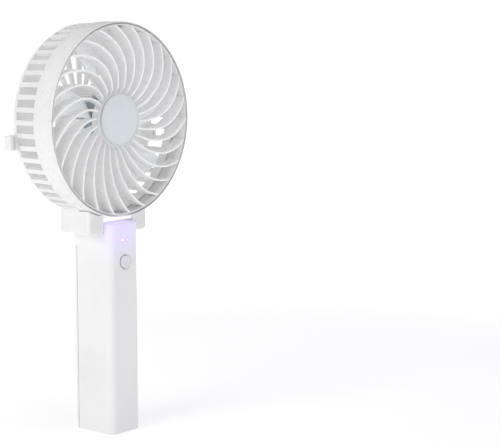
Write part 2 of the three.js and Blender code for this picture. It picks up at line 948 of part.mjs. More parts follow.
function motorCan() {
  return turned(
    [
      [bushRadius + fit, canFront],
      [canRadius - canBreak, canFront],
      [canRadius, canFront + canBreak],
      [canRadius, canBack],
      [canRadius - canWall, canBack],
      [canRadius - canWall, canFront + canWall],
      [bushRadius + fit, canFront + canWall],
    ],
  );
}

function motorEndCap() {
  const radius = canRadius - canWall - fit;
  return turned(
    [
      [shaftRadius + fit, canBack - endCapThickness],
      [radius, canBack - endCapThickness],
      [radius, canBack - endCapInset],
      [shaftRadius + fit, canBack - endCapInset],
    ],
  );
}

function motorMagnet(hand) {
  const y0 = canFront + canWall + 2 * fit;
  const y1 = canBack - endCapThickness - fit;
  const ring = pipe("y", magnetOuter, magnetInner, y0, y1, [0, 0, 0], 32);
  const far = magnetOuter + past;
  const [x0, x1] = stretch(hand, magnetApart / 2, far);
  return ring.intersect(box(x0, x1, y0 - past, y1 + past, -far, far));
}

function motorArmature() {
  const y0 = canFront + canWall + armatureFrontGap;
  const y1 = canBack - endCapThickness - armatureBackGap;
  const core = pipe("y", armatureRadius, shaftRadius + fit, y0, y1, [0, 0, 0], 24);
  const half = armatureSlotWidth / 2;
  const floor = armatureRadius - armatureSlotDepth;
  const slot = box(floor, armatureRadius + past, y0 - past, y1 + past, -half, half);
  const slots = [];
  for (let index = 0; index < armatureSlots; index += 1) {
    slots.push(aroundAxis(slot, (index * 2 * Math.PI) / armatureSlots));
  }
  return cut(core, ...slots);
}

function frontBush() {
  const y0 = canFront - bushProud;
  return pipe("y", bushRadius, shaftRadius + fit, y0, y0 + bushLength, [0, 0, 0], 24);
}

function motorShaft() {
  return bar("y", shaftRadius, shaftFront, shaftBack);
}

function impellerInsert() {
  const y0 = impellerFront + impellerWall + fit;
  const y1 = impellerBack - bossShy - fit;
  return pipe("y", bossRadius - bossWall, shaftRadius + fit, y0, y1, [0, 0, 0], 20);
}

function impeller() {
  const reach = bladeTip + bladeBreak;
  const tilt = THREE.MathUtils.degToRad(bladeAngle);
  const blades = [];
  for (let index = 0; index < bladeCount; index += 1) {
    const geometry = new THREE.BoxGeometry(reach, bladeThickness, bladeChord);
    geometry.translate(reach / 2, 0, 0);
    geometry.rotateX(tilt);
    geometry.translate(0, impellerFront + bladeSetBack, 0);
    blades.push(aroundAxis(solid(geometry), (index * 2 * Math.PI) / bladeCount));
  }
  const sweptBack = insideBack - 2 * slip;
  const envelope = turned(
    [
      [bladeInner, impellerFront],
      [bladeTip - bladeBreak, impellerFront],
      [bladeTip, impellerFront + bladeBreak],
      [bladeTip, sweptBack - bladeBreak],
      [bladeTip - bladeBreak, sweptBack],
      [seatOuter + 2 * slip, sweptBack],
      [seatOuter + 2 * slip, impellerBack],
      [bladeInner, impellerBack],
    ],
    4 * bladeCount,
  );
  const hub = turned(
    [
      [0, impellerFront],
      [impellerHub - impellerBreak, impellerFront],
      [impellerHub, impellerFront + impellerBreak],
      [impellerHub, impellerBack],
      [impellerHub - impellerWall, impellerBack],
      [impellerHub - impellerWall, impellerFront + impellerWall],
      [bossRadius, impellerFront + impellerWall],
      [bossRadius, impellerBack - bossShy],
      [0, impellerBack - bossShy],
    ],
    4 * bladeCount,
  );
  const bore = joined([
    bar("y", bossRadius - bossWall + fit, impellerFront + impellerWall, impellerBack, [0, 0, 0], 20),
    bar("y", shaftRadius + fit, shaftFront - fit, impellerBack),
  ]);
  return cut(joined(blades).intersect(envelope).add(hub), bore);
}

// ---------------------------------------------------------------- assembly

function buildHandle() {
  const group = new THREE.Group();
  const spots = screwPlaces();
  group.add(
    part("handle_shell", handleShell(), materials.shell),
    part("battery_cover", batteryCover(), materials.shell),
    part("battery_cell", batteryCell(), materials.wrap),
    part("battery_spring", batterySpring(), materials.nickel),
    part("spring_contact", contactPlate(trayBottom + trayWall + fit), materials.nickel),
    part("tip_contact", contactPlate(tipContactZ), materials.nickel),
    part("battery_tray", batteryTray(), materials.black),
    part("control_board", controlBoard(), materials.board),
    part("board_screw_left", boardScrew(spots[0]), materials.steel),
    part("board_screw_right", boardScrew(spots[1]), materials.steel),
    part("usb_socket", usbSocket(), materials.steel),
    part("switch_body", switchBody(), materials.black),
    part("switch_plunger", switchPlunger(), materials.black),
    part("power_button", powerButton(), materials.button),
    part("speed_light_lens", lightLens(-1), materials.lens),
    part("charge_light_lens", lightLens(1), materials.lens),
    part("speed_light_led", lightLed(-1), materials.led),
    part("charge_light_led", lightLed(1), materials.led),
    part("glow_led", glowLed(), materials.led),
    part("light_guide", lightGuide(), materials.diffuser),
    part("charge_chip", chargeChip(), materials.chip),
    part("boost_coil", boostCoil(), materials.chip),
    part("hinge_pin", hingePin(), materials.steel),
    part("hinge_washer_left", hingeWasher(-1), materials.steel),
    part("hinge_washer_right", hingeWasher(1), materials.steel),
  );
  return group;
}

function buildHead() {
  const group = new THREE.Group();
  group.position.set(0, 0, headZ);
  group.add(
    part("rear_cover", rearCover(), materials.shell),
    part("front_grille", frontGrille(), materials.grille),
    part("hub_cap", hubCap(), materials.hubCap),
    part("motor_cover", motorCover(), materials.shell),
    part("motor_can", motorCan(), materials.steel),
    part("motor_end_cap", motorEndCap(), materials.black),
    part("motor_magnet_left", motorMagnet(-1), materials.magnet),
    part("motor_magnet_right", motorMagnet(1), materials.magnet),
    part("front_bush", frontBush(), materials.brass),
    part("motor_armature", motorArmature(), materials.copper),
    part("motor_shaft", motorShaft(), materials.steel),
    part("impeller_insert", impellerInsert(), materials.brass),
    part("impeller", impeller(), materials.impeller),
  );
  const caps = new THREE.Group();
  caps.position.set(0, 0, -headZ);
  caps.add(
    part("hinge_cap_left", hingeCap(-1), materials.shell),
    part("hinge_cap_right", hingeCap(1), materials.shell),
  );
  group.add(caps);
  return group;
}

const fan = new THREE.Group();
fan.add(buildHandle(), buildHead());

export default fan;
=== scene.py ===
"""Folding hand-held fan: its visible pieces, their finishes, and the studio they stand in."""

import functools
import math

import bpy
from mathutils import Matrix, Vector


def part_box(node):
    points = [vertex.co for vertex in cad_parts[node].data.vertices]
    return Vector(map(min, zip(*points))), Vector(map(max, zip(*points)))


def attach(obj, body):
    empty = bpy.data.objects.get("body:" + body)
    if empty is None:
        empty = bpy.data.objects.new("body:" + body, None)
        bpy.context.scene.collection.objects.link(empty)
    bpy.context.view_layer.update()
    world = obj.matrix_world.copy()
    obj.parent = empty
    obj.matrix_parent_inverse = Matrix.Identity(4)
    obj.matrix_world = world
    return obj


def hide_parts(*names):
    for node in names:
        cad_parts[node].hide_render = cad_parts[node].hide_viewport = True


bl_info = {
    "name": "Folding fan",
    "version": (1, 0, 0),
    "blender": (4, 5, 0),
    "location": "View3D > Sidebar > Fan",
    "description": "Models the casing, grille, handle and finishes of a folding hand-held fan",
    "category": "Object",
}

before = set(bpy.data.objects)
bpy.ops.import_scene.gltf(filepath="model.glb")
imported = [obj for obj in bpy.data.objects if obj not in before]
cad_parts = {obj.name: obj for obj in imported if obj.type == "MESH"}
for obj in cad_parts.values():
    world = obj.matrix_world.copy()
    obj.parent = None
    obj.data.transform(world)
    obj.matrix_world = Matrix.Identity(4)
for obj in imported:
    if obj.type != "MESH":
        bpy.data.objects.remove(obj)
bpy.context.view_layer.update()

MM = 0.001
FULL_TURN = 2 * math.pi


@functools.cache
def node_box(node):
    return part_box(node)


def low(node):
    return node_box(node)[0]


def high(node):
    return node_box(node)[1]


def middle(node):
    return (low(node) + high(node)) / 2


# ---------------------------------------------------------------- sizes and colours


def length(name, description, millimetres):
    return bpy.props.FloatProperty(
        name=name,
        description=description,
        default=millimetres * MM,
        min=0,
        unit="LENGTH",
        subtype="DISTANCE",
        precision=5,
    )


def angle(name, description, degrees):
    return bpy.props.FloatProperty(
        name=name,
        description=description,
        default=math.radians(degrees),
        unit="ROTATION",
        subtype="ANGLE",
    )


def colour(name, description, value):
    return bpy.props.FloatVectorProperty(
        name=name, description=description, default=value, size=3, min=0, max=1, subtype="COLOR"
    )


def share(name, description, value, most=1.0):
    return bpy.props.FloatProperty(
        name=name, description=description, default=value, min=0, max=most, subtype="FACTOR"
    )


def count(name, description, value):
    return bpy.props.IntProperty(name=name, description=description, default=value, min=1)


class HandleSizes(bpy.types.PropertyGroup):
    wall: length("Wall", "Thickness of the handle's wall", 1.6)
    front_corner: length("Front corner", "Radius of the upright front edges", 4)
    back_corner: length("Back corner", "Radius of the upright back edges", 2)
    edge: length("Edge", "Radius round the handle's two ends", 0.8)
    pin_below_top: length("Pin below top", "From the handle's top down to the hinge pin", 2)
    cover_height: length("Cover height", "Height of the opening for the battery cover", 100)
    cover_depth: length("Cover depth", "How far the cover's opening cuts in from the back", 3)
    cover_wall: length("Cover wall", "Thickness of the battery cover", 1.4)
    gap: length("Gap", "Gap between pieces that fit together", 0.3)
    knuckle: length("Knuckle", "Radius of the handle's hinge knuckle", 3.5)
    knuckle_width: length("Knuckle width", "Width of the hinge knuckle", 19.8)
    button_radius: length("Button radius", "Radius of the power button", 3.4)
    glow_height: length("Glow height", "How far the light shows down the handle", 24)


class HeadSizes(bpy.types.PropertyGroup):
    ring_depth: length("Ring depth", "Depth of the grille's outer ring", 12.5)
    ring_wall: length("Ring wall", "Thickness of the grille's outer ring", 1.7)
    hub_radius: length("Hub radius", "Radius of the grille's hub", 14)
    vane_count: count("Vanes", "Number of swirl vanes", 26)
    vane_thickness: length("Vane thickness", "Thickness of a vane", 0.95)
    vane_sweep: angle("Vane sweep", "Turn of a vane from hub to ring", 31.5)
    vane_curve: bpy.props.FloatProperty(
        name="Vane curve", description="How the turn grows towards the ring", default=1.64
    )
    vane_start: angle("Vane start", "Where the first vane leaves the hub", 8.8)
    vane_dome: length("Vane dome", "How far the vanes swell forward", 2)
    vane_depth: length("Vane depth", "From the rim's plane back to the vanes' rear edge", 7.2)
    casing_wall: length("Casing wall", "Thickness of the rear casing", 1.8)
    ear_thickness: length("Ear thickness", "Width of each ear's front, from side to side", 10.9)
    ear_taper: length("Ear taper", "How much thinner the ears are at their rear", 5.9)
    ear_corner: length("Ear corner", "Radius of the ears' upright rear edges", 4.6)
    window_start: length("Window start", "From the grille's rear edge to the windows", 1.1)
    window_end: length("Window end", "From the windows to the casing's flat back", 6.6)
    ear_foot: length("Ear foot", "Radius of the ears' lower edges", 2.2)
    blade_count: count("Blades", "Number of impeller blades", 7)
    blade_thickness: length("Blade thickness", "Thickness of a blade", 1.3)


class FinishColours(bpy.types.PropertyGroup):
    shell: colour("Shell", "Handle and casing plastic", (0.80, 0.80, 0.81))
    casing: colour("Casing", "Rear casing plastic", (0.77, 0.765, 0.765))
    grille: colour("Grille", "Front grille plastic", (0.77, 0.768, 0.772))
    cap: colour("Hub cap", "Hub cap's face", (0.67, 0.72, 0.75))
    button: colour("Button", "Power button", (0.74, 0.74, 0.78))
    blade: colour("Impeller", "Impeller plastic", (0.86, 0.88, 0.90))
    # glow, glow tint and glow strength paint the handle lamp's light onto the shell
    glow: colour("Glow", "Light in the top of the handle", (0.52, 0.42, 0.95))
    glow_tint: colour("Glow tint", "The shell where that light shows", (0.70, 0.66, 0.84))
    glow_strength: share("Glow strength", "Strength of that light", 0.25, 5)
    # neck glow, neck strength and soak set painted light: a violet glow on the neck and a glow
    # inside the head's plastic
    neck_glow: colour("Neck glow", "That light where it falls on the neck", (0.84, 0.79, 1.0))
    neck_strength: share("Neck strength", "Strength of the light on the neck", 0.45, 5)
    # hub is painted shade on the impeller's hub, which sits in shadow
    hub: colour("Impeller hub", "Impeller plastic on its hub", (0.36, 0.42, 0.47))
    soak: share("Soak", "Light that soaks through the head's thin plastic", 0.1, 5)
    grain: share("Grain", "Depth of the moulded texture", 0.15)


class Studio(bpy.types.PropertyGroup):
    surround: share("Surround", "Strength of the light from all round", 0.5, 10)
    side_light: bpy.props.FloatProperty(
        name="Side light", description="Power of the light on the left", default=6.5, unit="POWER"
    )
    top_light: bpy.props.FloatProperty(
        name="Top light", description="Power of the light above", default=3, unit="POWER"
    )
    front_light: bpy.props.FloatProperty(
        name="Front light", description="Power of the light in front", default=2.4, unit="POWER"
    )
    back_light: bpy.props.FloatProperty(
        name="Back light", description="Power of the light behind", default=4, unit="POWER"
    )
    floor_lift: share("Floor lift", "Light added to the floor near the fan", 0.26, 5)
    far_lift: share("Far lift", "Light added to the floor far from the fan", 0.75, 5)
    lens: bpy.props.FloatProperty(
        name="Lens", description="Focal length of the camera, in millimetres", default=105.94
    )
    camera_place: bpy.props.FloatVectorProperty(
        name="Camera place",
        description="Where the camera stands",
        default=(-0.555483, -0.551334, 0.213251),
        size=3,
        unit="LENGTH",
        subtype="TRANSLATION",
        precision=5,
    )
    camera_turn: angle("Camera turn", "Turn of the camera about the upright axis", -50.853)
    camera_pitch: angle("Camera pitch", "How far the camera looks down", 7.409)


# ---------------------------------------------------------------- modelling helpers


def clear_selection():
    active = bpy.context.object
    if active is not None and active.mode != "OBJECT":
        bpy.ops.object.mode_set(mode="OBJECT")
    bpy.ops.object.select_all(action="DESELECT")


def activate(piece):
    clear_selection()
    piece.select_set(True)
    bpy.context.view_layer.objects.active = piece


def set_in_place():
    bpy.ops.object.transform_apply(location=True, rotation=True, scale=True)


def add_block(lowest, highest):
    """A block between two corners."""
    lowest, highest = Vector(lowest), Vector(highest)
    clear_selection()
    bpy.ops.mesh.primitive_cube_add(
        size=1, location=(lowest + highest) / 2, scale=highest - lowest
    )
    set_in_place()
    return bpy.context.object


def add_bar(centre, radius, long, along="X", sides=64):
    """A round bar of some length, along X or Y, about its centre."""
    clear_selection()
    turn = (0, math.pi / 2, 0) if along == "X" else (math.pi / 2, 0, 0)
    bpy.ops.mesh.primitive_cylinder_add(
        vertices=sides, radius=radius, depth=long, location=centre, rotation=turn
    )
    set_in_place()
    return bpy.context.object


def edit(piece, kind):
    """Opens the piece in edit mode for vertices, edges or faces."""
    bpy.context.tool_settings.mesh_select_mode = (kind == "VERT", kind == "EDGE", kind == "FACE")
    activate(piece)
    bpy.ops.object.mode_set(mode="EDIT")


def choose(piece, kind, test):
    """Opens the piece in edit mode with only what passes the test selected.

    The test is given the places of an element's vertices."""
    activate(piece)
    mesh = piece.data
    for group in (mesh.vertices, mesh.edges, mesh.polygons):
        group.foreach_set("select", [False] * len(group))
    if kind == "VERT":
        for vertex in mesh.vertices:
            vertex.select = test([vertex.co])
    else:
        for element in mesh.edges if kind == "EDGE" else mesh.polygons:
            element.select = test([mesh.vertices[i].co for i in element.vertices])
    edit(piece, kind)


def leave_edit():
    bpy.ops.object.mode_set(mode="OBJECT")


def bevel_edges(piece, test, radius, segments):
    choose(piece, "EDGE", test)
    bpy.ops.mesh.bevel(
        offset=radius, segments=segments, affect="EDGES", clamp_overlap=True, loop_slide=False
    )
    leave_edit()


def lay_line(points):
    """In edit mode: a chain of edges through the points, left selected at its last point."""
    bpy.ops.mesh.select_all(action="DESELECT")
    bpy.ops.mesh.primitive_plane_add(size=MM, location=points[0])
    bpy.ops.mesh.merge(type="CENTER")
    for here, there in zip(points, points[1:]):
        step = Vector(there) - Vector(here)
        bpy.ops.mesh.extrude_vertices_move(TRANSFORM_OT_translate={"value": step})


def start_mesh():
    """A new empty mesh at the origin, open in vertex edit mode."""
    clear_selection()
    bpy.ops.mesh.primitive_plane_add(size=MM)
    piece = bpy.context.object
    edit(piece, "VERT")
    bpy.ops.mesh.select_all(action="SELECT")
    bpy.ops.mesh.delete(type="VERT")
    return piece


def tidy_open_mesh(distance=1e-6):
    """In edit mode: merges doubles and turns the faces outwards."""
    bpy.ops.mesh.select_all(action="SELECT")
    bpy.ops.mesh.remove_doubles(threshold=distance)
    bpy.ops.mesh.normals_make_consistent(inside=False)


def turn_profile(profile, centre, steps, closed=True):
    """A profile of (radius, y) points spun about the fore-and-aft line through the centre."""
    centre = Vector(centre)
    points = [centre + Vector((radius, y - centre.y, 0)) for radius, y in profile]
    if closed:
        points.append(points[0])
    piece = start_mesh()
    lay_line(points)
    bpy.ops.mesh.select_all(action="SELECT")
    bpy.ops.mesh.spin(steps=steps, angle=FULL_TURN, center=centre, axis=(0, 1, 0))
    tidy_open_mesh()
    leave_edit()
    return piece


def skin_lines(lines, thickness, rim=0.0, rim_segments=2):
    """A sheet bridged through lines of points, given a thickness and rounded edges."""
    piece = start_mesh()
    for line in lines:
        lay_line(line)
    bpy.ops.mesh.select_all(action="SELECT")
    bpy.ops.mesh.bridge_edge_loops(type="PAIRS" if len(lines) == 2 else "SINGLE")
    bpy.ops.mesh.select_all(action="SELECT")
    bpy.ops.mesh.normals_make_consistent(inside=False)
    leave_edit()
    modify(piece, "SOLIDIFY", thickness=thickness, offset=0)
    if rim:
        modify(
            piece,
            "BEVEL",
            width=rim,
            segments=rim_segments,
            limit_method="ANGLE",
            angle_limit=math.radians(40),
        )
    return piece


def modify(piece, kind, **settings):
    """Adds a modifier and applies it at once."""
    activate(piece)
    bpy.ops.object.modifier_add(type=kind)
    modifier = piece.modifiers[-1]
    for name, value in settings.items():
        setattr(modifier, name, value)
    bpy.ops.object.modifier_apply(modifier=modifier.name)


def carve(piece, *tools):
    """Cuts the tools out of the piece and removes them."""
    for tool in tools:
        modify(piece, "BOOLEAN", operation="DIFFERENCE", solver="EXACT", object=tool)
        bpy.data.objects.remove(tool)
    return piece


def weld(piece, *others):
    """Joins the others to the piece as one solid and removes them."""
    for other in others:
        modify(piece, "BOOLEAN", operation="UNION", solver="EXACT", object=other)
        bpy.data.objects.remove(other)
    return piece


def copy_round(piece, copies, centre):
    """Repeats the piece's mesh evenly about the fore-and-aft line through the centre."""
    edit(piece, "VERT")
    bpy.ops.mesh.select_all(action="SELECT")
    bpy.ops.mesh.spin(
        steps=copies, dupli=True, angle=FULL_TURN, center=centre, axis=(0, 1, 0)
    )
    tidy_open_mesh()
    leave_edit()
    return piece


def mirror_copy(piece):
    """A second piece, mirrored left to right."""
    activate(piece)
    bpy.ops.object.duplicate()
    twin = bpy.context.object
    edit(twin, "VERT")
    bpy.ops.mesh.select_all(action="SELECT")
    bpy.ops.transform.resize(value=(-1, 1, 1), center_override=(0, 0, 0))
    bpy.ops.mesh.normals_make_consistent(inside=False)
    leave_edit()
    return twin


def hand_over(piece, name, body, finish, nodes, smooth=32):
    """Smooths a finished piece, gives it its name, finish and body, and hides the CAD nodes it
    stands for.
    """
    activate(piece)
    piece.name = name
    piece.data.name = name
    set_in_place()
    bpy.ops.object.shade_smooth_by_angle(angle=math.radians(smooth))
    modify(piece, "WEIGHTED_NORMAL", keep_sharp=True)
    if not piece.data.materials:
        piece.data.materials.append(finish)
    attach(piece, body)
    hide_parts(*nodes)
    return piece


# ---------------------------------------------------------------- finishes


class Graph:
    """A new node material, with its principled shader and its object coordinates."""

    def __init__(self, name):
        self.material = bpy.data.materials.new(name)
        self.material.use_nodes = True
        self.tree = self.material.node_tree
        self.shader = self.tree.nodes["Principled BSDF"]
        self.place = self.node("ShaderNodeTexCoord").outputs["Object"]

    def node(self, kind, **settings):
        made = self.tree.nodes.new(kind)
        for name, value in settings.items():
            if name in made.inputs:
                made.inputs[name].default_value = value
            else:
                setattr(made, name, value)
        return made

    def join(self, start, end):
        self.tree.links.new(start, end)

    def noise(self, scale, detail=3.0, rough=0.5):
        made = self.node("ShaderNodeTexNoise", Scale=scale, Detail=detail, Roughness=rough)
        self.join(self.place, made.inputs["Vector"])
        return made.outputs["Fac"]

    def spread(self, value, low_in, high_in, low_out, high_out):
        """Maps a value's range onto another, smoothly."""
        made = self.node("ShaderNodeMapRange", interpolation_type="SMOOTHSTEP")
        self.join(value, made.inputs["Value"])
        for name, number in (
            ("From Min", low_in),
            ("From Max", high_in),
            ("To Min", low_out),
            ("To Max", high_out),
        ):
            made.inputs[name].default_value = number
        return made.outputs["Result"]

    def blend_colours(self, factor, first, second):
        made = self.node("ShaderNodeMix", data_type="RGBA")
        self.join(factor, made.inputs["Factor"])
        for index, value in ((6, first), (7, second)):
            if isinstance(value, bpy.types.NodeSocket):
                self.join(value, made.inputs[index])
            else:
                made.inputs[index].default_value = (*value, 1)
        return made.outputs[2]

    def combine(self, first, second, operation="MULTIPLY"):
        made = self.node("ShaderNodeMath", operation=operation)
        for index, value in enumerate((first, second)):
            if isinstance(value, bpy.types.NodeSocket):
                self.join(value, made.inputs[index])
            else:
                made.inputs[index].default_value = value
        return made.outputs["Value"]

    def bump(self, height, strength, distance):
        made = self.node("ShaderNodeBump", Strength=strength, Distance=distance)
        self.join(height, made.inputs["Height"])
        self.feed("Normal", made.outputs["Normal"])

    def feed(self, name, value):
        """Links a value to one of the shader's inputs, or sets that input's own number."""
        socket = self.shader.inputs[name]
        if isinstance(value, bpy.types.NodeSocket):
            self.join(value, socket)
        else:
            socket.default_value = value

    def fed(self, name):
        """The value that one of the shader's inputs is linked to."""
        return self.shader.inputs[name].links[0].from_socket

    def axes(self):
        """The three object coordinates."""
        split = self.node("ShaderNodeSeparateXYZ")
        self.join(self.place, split.inputs["Vector"])
        return [split.outputs[axis] for axis in "XYZ"]

    def within(self, radius, edge):
        """One inside a radius of the fan's axis, falling to nothing over the edge's width."""
        across, _, up = self.axes()
        level = self.combine(up, head_centre().z, "SUBTRACT")
        away = self.combine(self.combine(across, across), self.combine(level, level), "ADD")
        return self.spread(away, radius**2, (radius + edge) ** 2, 1, 0)


def shaded(tone, by):
    return tuple(max(0.0, min(1.0, channel * by)) for channel in tone)


def moulded(name, tone, gloss=0.34, grain=None, edge_highlight=0.25, glow_through=0.0):
    """Injection-moulded plastic: fine spark texture, faint flow marks and a painted highlight on
    its convex edges.
    """
    finishes = bpy.context.scene.fan_finishes
    grain = finishes.grain if grain is None else grain
    graph = Graph(name)
    flow = graph.noise(26, 4)
    cloud = graph.noise(210, 3)
    spark = graph.noise(3600, 2, 0.6)
    marks = graph.spread(flow, 0.35, 0.7, 0, 1)
    tint = graph.blend_colours(marks, shaded(tone, 1.012), shaded(tone, 0.965))
    patches = graph.spread(cloud, 0.55, 0.8, 0, 0.15)
    tint = graph.blend_colours(patches, tint, shaded(tone, 0.94))
    # painted highlight: convex edges, found by their pointiness, are made lighter than the
    # plastic
    edges = graph.node("ShaderNodeNewGeometry").outputs["Pointiness"]
    edge_highlight_mask = graph.spread(edges, 0.53, 0.62, 0, edge_highlight)
    graph.feed("Base Color", graph.blend_colours(edge_highlight_mask, tint, shaded(tone, 1.08)))
    graph.feed("Roughness", graph.spread(cloud, 0.3, 0.75, gloss * 0.82, gloss * 1.25))
    height = graph.combine(spark, graph.combine(flow, 0.15), "ADD")
    graph.bump(height, grain, 0.05 * MM)
    graph.feed("IOR", 1.49)
    graph.feed("Subsurface Weight", glow_through)
    graph.feed("Subsurface Radius", (1, 0.95, 0.9))
    graph.feed("Subsurface Scale", 5 * MM)
    graph.feed("Coat Weight", 0.12)
    graph.feed("Coat Roughness", 0.18)
    return graph


def painted_inner_glow(graph, radius):
    """Adds a painted glow for the light that soaks into the head's thin plastic, and a painted
    glow on its neck.
    """
    finishes = bpy.context.scene.fan_finishes
    across, deep, up = graph.axes()
    back = high("motor_cover").y
    fade = 0.4 * MM
    inside = graph.combine(
        graph.within(radius - fade, fade),
        graph.spread(deep, back - 1.7 * MM, back - 1.1 * MM, 1, 0),
    )
    foot = high("front_grille").z - 2 * ring_radius()
    near = graph.combine(
        graph.spread(up, foot - 0.5 * MM, foot + 1.5 * MM, 1, 0),
        graph.spread(graph.combine(across, 0, "ABSOLUTE"), 9 * MM, 12.5 * MM, 1, 0),
    )
    # painted light: emission inside the head stands in for light soaking through its plastic, and
    # violet emission on the neck for the handle's light falling on it
    graph.feed("Emission Color", graph.blend_colours(near, (1, 1, 1), finishes.neck_glow))
    soak = graph.combine(inside, finishes.soak)
    glow = graph.combine(near, finishes.neck_strength)
    graph.feed("Emission Strength", graph.combine(soak, glow, "ADD"))
    return graph


def lit_shell(name, tone):
    """The handle's plastic, with the violet light that shows through it near the top."""
    finishes = bpy.context.scene.fan_finishes
    sizes = bpy.context.scene.fan_handle
    graph = moulded(name, tone)
    across, deep, up = graph.axes()
    top = middle("hinge_pin").z + sizes.pin_below_top
    front = low("handle_shell").y
    side = low("handle_shell").x
    down = graph.spread(up, top - sizes.glow_height, top - 4 * MM, 0, 1)
    forward = graph.spread(deep, front + 2 * MM, front + 11 * MM, 1, 0)
    sideways = graph.spread(across, side, -side * 1.4, 1, 0.6)
    haze = graph.spread(graph.noise(70, 2), 0.2, 0.8, 0.85, 1.1)
    mask = graph.combine(graph.combine(down, forward), graph.combine(sideways, haze))
    # painted light: the shell is tinted violet and made to glow where the lamp inside the handle
    # shines through it
    graph.feed(
        "Base Color", graph.blend_colours(mask, graph.fed("Base Color"), finishes.glow_tint)
    )
    graph.feed("Emission Color", (*finishes.glow, 1))
    graph.feed("Emission Strength", graph.combine(mask, finishes.glow_strength))
    return graph


def machined(name, tone, gloss=0.3, brush=900):
    """Bare metal with fine tool marks and a slight change of shine."""
    graph = Graph(name)
    marks = graph.noise(brush, 5, 0.7)
    patches = graph.spread(graph.noise(160, 3), 0.35, 0.7, 0, 1)
    graph.feed(
        "Base Color", graph.blend_colours(patches, shaded(tone, 1.05), shaded(tone, 0.85))
    )
    graph.feed("Roughness", graph.spread(marks, 0.3, 0.7, gloss * 0.7, gloss * 1.4))
    graph.bump(marks, 0.25, 0.04 * MM)
    graph.feed("Metallic", 1)
    return graph


def solder_mask(name):
    """A green circuit board with darker copper tracks under its lacquer."""
    graph = Graph(name)
    stretch = graph.node("ShaderNodeMapping")
    stretch.inputs["Scale"].default_value = (1, 0.05, 1)
    graph.join(graph.place, stretch.inputs["Vector"])
    tracks = graph.node(
        "ShaderNodeTexVoronoi", feature="DISTANCE_TO_EDGE", distance="CHEBYCHEV", Scale=330
    )
    graph.join(stretch.outputs["Vector"], tracks.inputs["Vector"])
    lines = graph.spread(tracks.outputs["Distance"], 0.06, 0.1, 1, 0)
    lacquer, copper = (0.012, 0.095, 0.045), (0.03, 0.2, 0.09)
    graph.feed("Base Color", graph.blend_colours(lines, lacquer, copper))
    graph.feed("Roughness", graph.spread(graph.noise(400), 0.3, 0.7, 0.25, 0.4))
    graph.bump(lines, 0.3, 0.03 * MM)
    return graph


def cell_sleeve(name):
    """The battery's blue sleeve, with a paler band and a bare tip at its positive end."""
    graph = moulded(name, (0.13, 0.33, 0.55), 0.3, 0.1, 0)
    up = graph.axes()[2]
    top = high("battery_cell").z
    tone = graph.fed("Base Color")
    for below, fade, paint in ((9.2, 0.2, (0.75, 0.8, 0.82)), (1.3, 0.1, (0.6, 0.6, 0.58))):
        start = top - below * MM
        band = graph.spread(up, start, start + fade * MM, 0, 1)
        tone = graph.blend_colours(band, tone, paint)
    graph.feed("Base Color", tone)
    return graph


def light_window(name, tone, strength):
    """A small clear lens with a light behind it, slightly uneven."""
    graph = Graph(name)
    grain = graph.noise(1500, 2)
    graph.feed("Base Color", graph.blend_colours(grain, shaded(tone, 1.0), shaded(tone, 0.9)))
    graph.feed("Roughness", graph.spread(grain, 0.3, 0.7, 0.08, 0.2))
    graph.feed("Emission Color", (*tone, 1))
    graph.feed("Emission Strength", graph.spread(grain, 0.2, 0.8, strength, strength * 1.15))
    graph.bump(grain, 0.1, 0.03 * MM)
    return graph


def inner_finishes():
    """Each finish inside the handle and the head, with the CAD nodes that have it."""
    finishes = bpy.context.scene.fan_finishes
    return (
        (
            machined("turned_steel", (0.62, 0.63, 0.65)),
            ("hinge_pin", "hinge_washer_left", "hinge_washer_right", "board_screw_left"),
            ("board_screw_right", "usb_socket", "motor_shaft", "motor_can"),
        ),
        (
            machined("nickel_plate", (0.70, 0.68, 0.60), 0.22),
            ("battery_spring", "spring_contact", "tip_contact"),
        ),
        (machined("brass", (0.72, 0.52, 0.2), 0.28), ("front_bush", "impeller_insert")),
        (
            machined("copper_winding", (0.62, 0.26, 0.1), 0.35, 4000),
            ("boost_coil", "motor_armature"),
        ),
        (solder_mask("solder_mask"), ("control_board",)),
        (cell_sleeve("cell_sleeve"), ("battery_cell",)),
        (
            moulded("black_plastic", (0.022, 0.022, 0.025), 0.45),
            ("switch_body", "switch_plunger", "motor_end_cap"),
        ),
        (moulded("chip_resin", (0.03, 0.03, 0.034), 0.4), ("charge_chip",)),
        (
            moulded("ferrite", (0.05, 0.05, 0.055), 0.6),
            ("motor_magnet_left", "motor_magnet_right"),
        ),
        (light_window("frosted_guide", finishes.glow, 0.25), ("light_guide",)),
        (
            light_window("lamp_resin", (0.85, 0.82, 0.65), 0.1),
            ("speed_light_led", "charge_light_led", "glow_led"),
        ),
        (moulded("tray_plastic", finishes.shell, 0.4), ("battery_tray",)),
    )


class FAN_OT_inner_finishes(bpy.types.Operator):
    """Gives the pieces inside the handle and the head their finishes"""

    bl_idname = "fan.inner_finishes"
    bl_label = "Inner finishes"

    def execute(self, context):
        for graph, *groups in inner_finishes():
            for node in sum(groups, ()):
                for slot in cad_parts[node].material_slots:
                    slot.material = graph.material
        return {"FINISHED"}


# ---------------------------------------------------------------- handle


def upright(points, x=None, y=None):
    """True for an upright edge at that distance from the middle in x, and at that y."""
    a, b = points
    return (
        abs(a.x - b.x) < 1e-5
        and abs(a.y - b.y) < 1e-5
        and (x is None or abs(abs(a.x) - x) < 1e-4)
        and (y is None or abs(a.y - y) < 1e-4)
    )


def at_height(points, z):
    return all(abs(point.z - z) < 1e-5 for point in points)


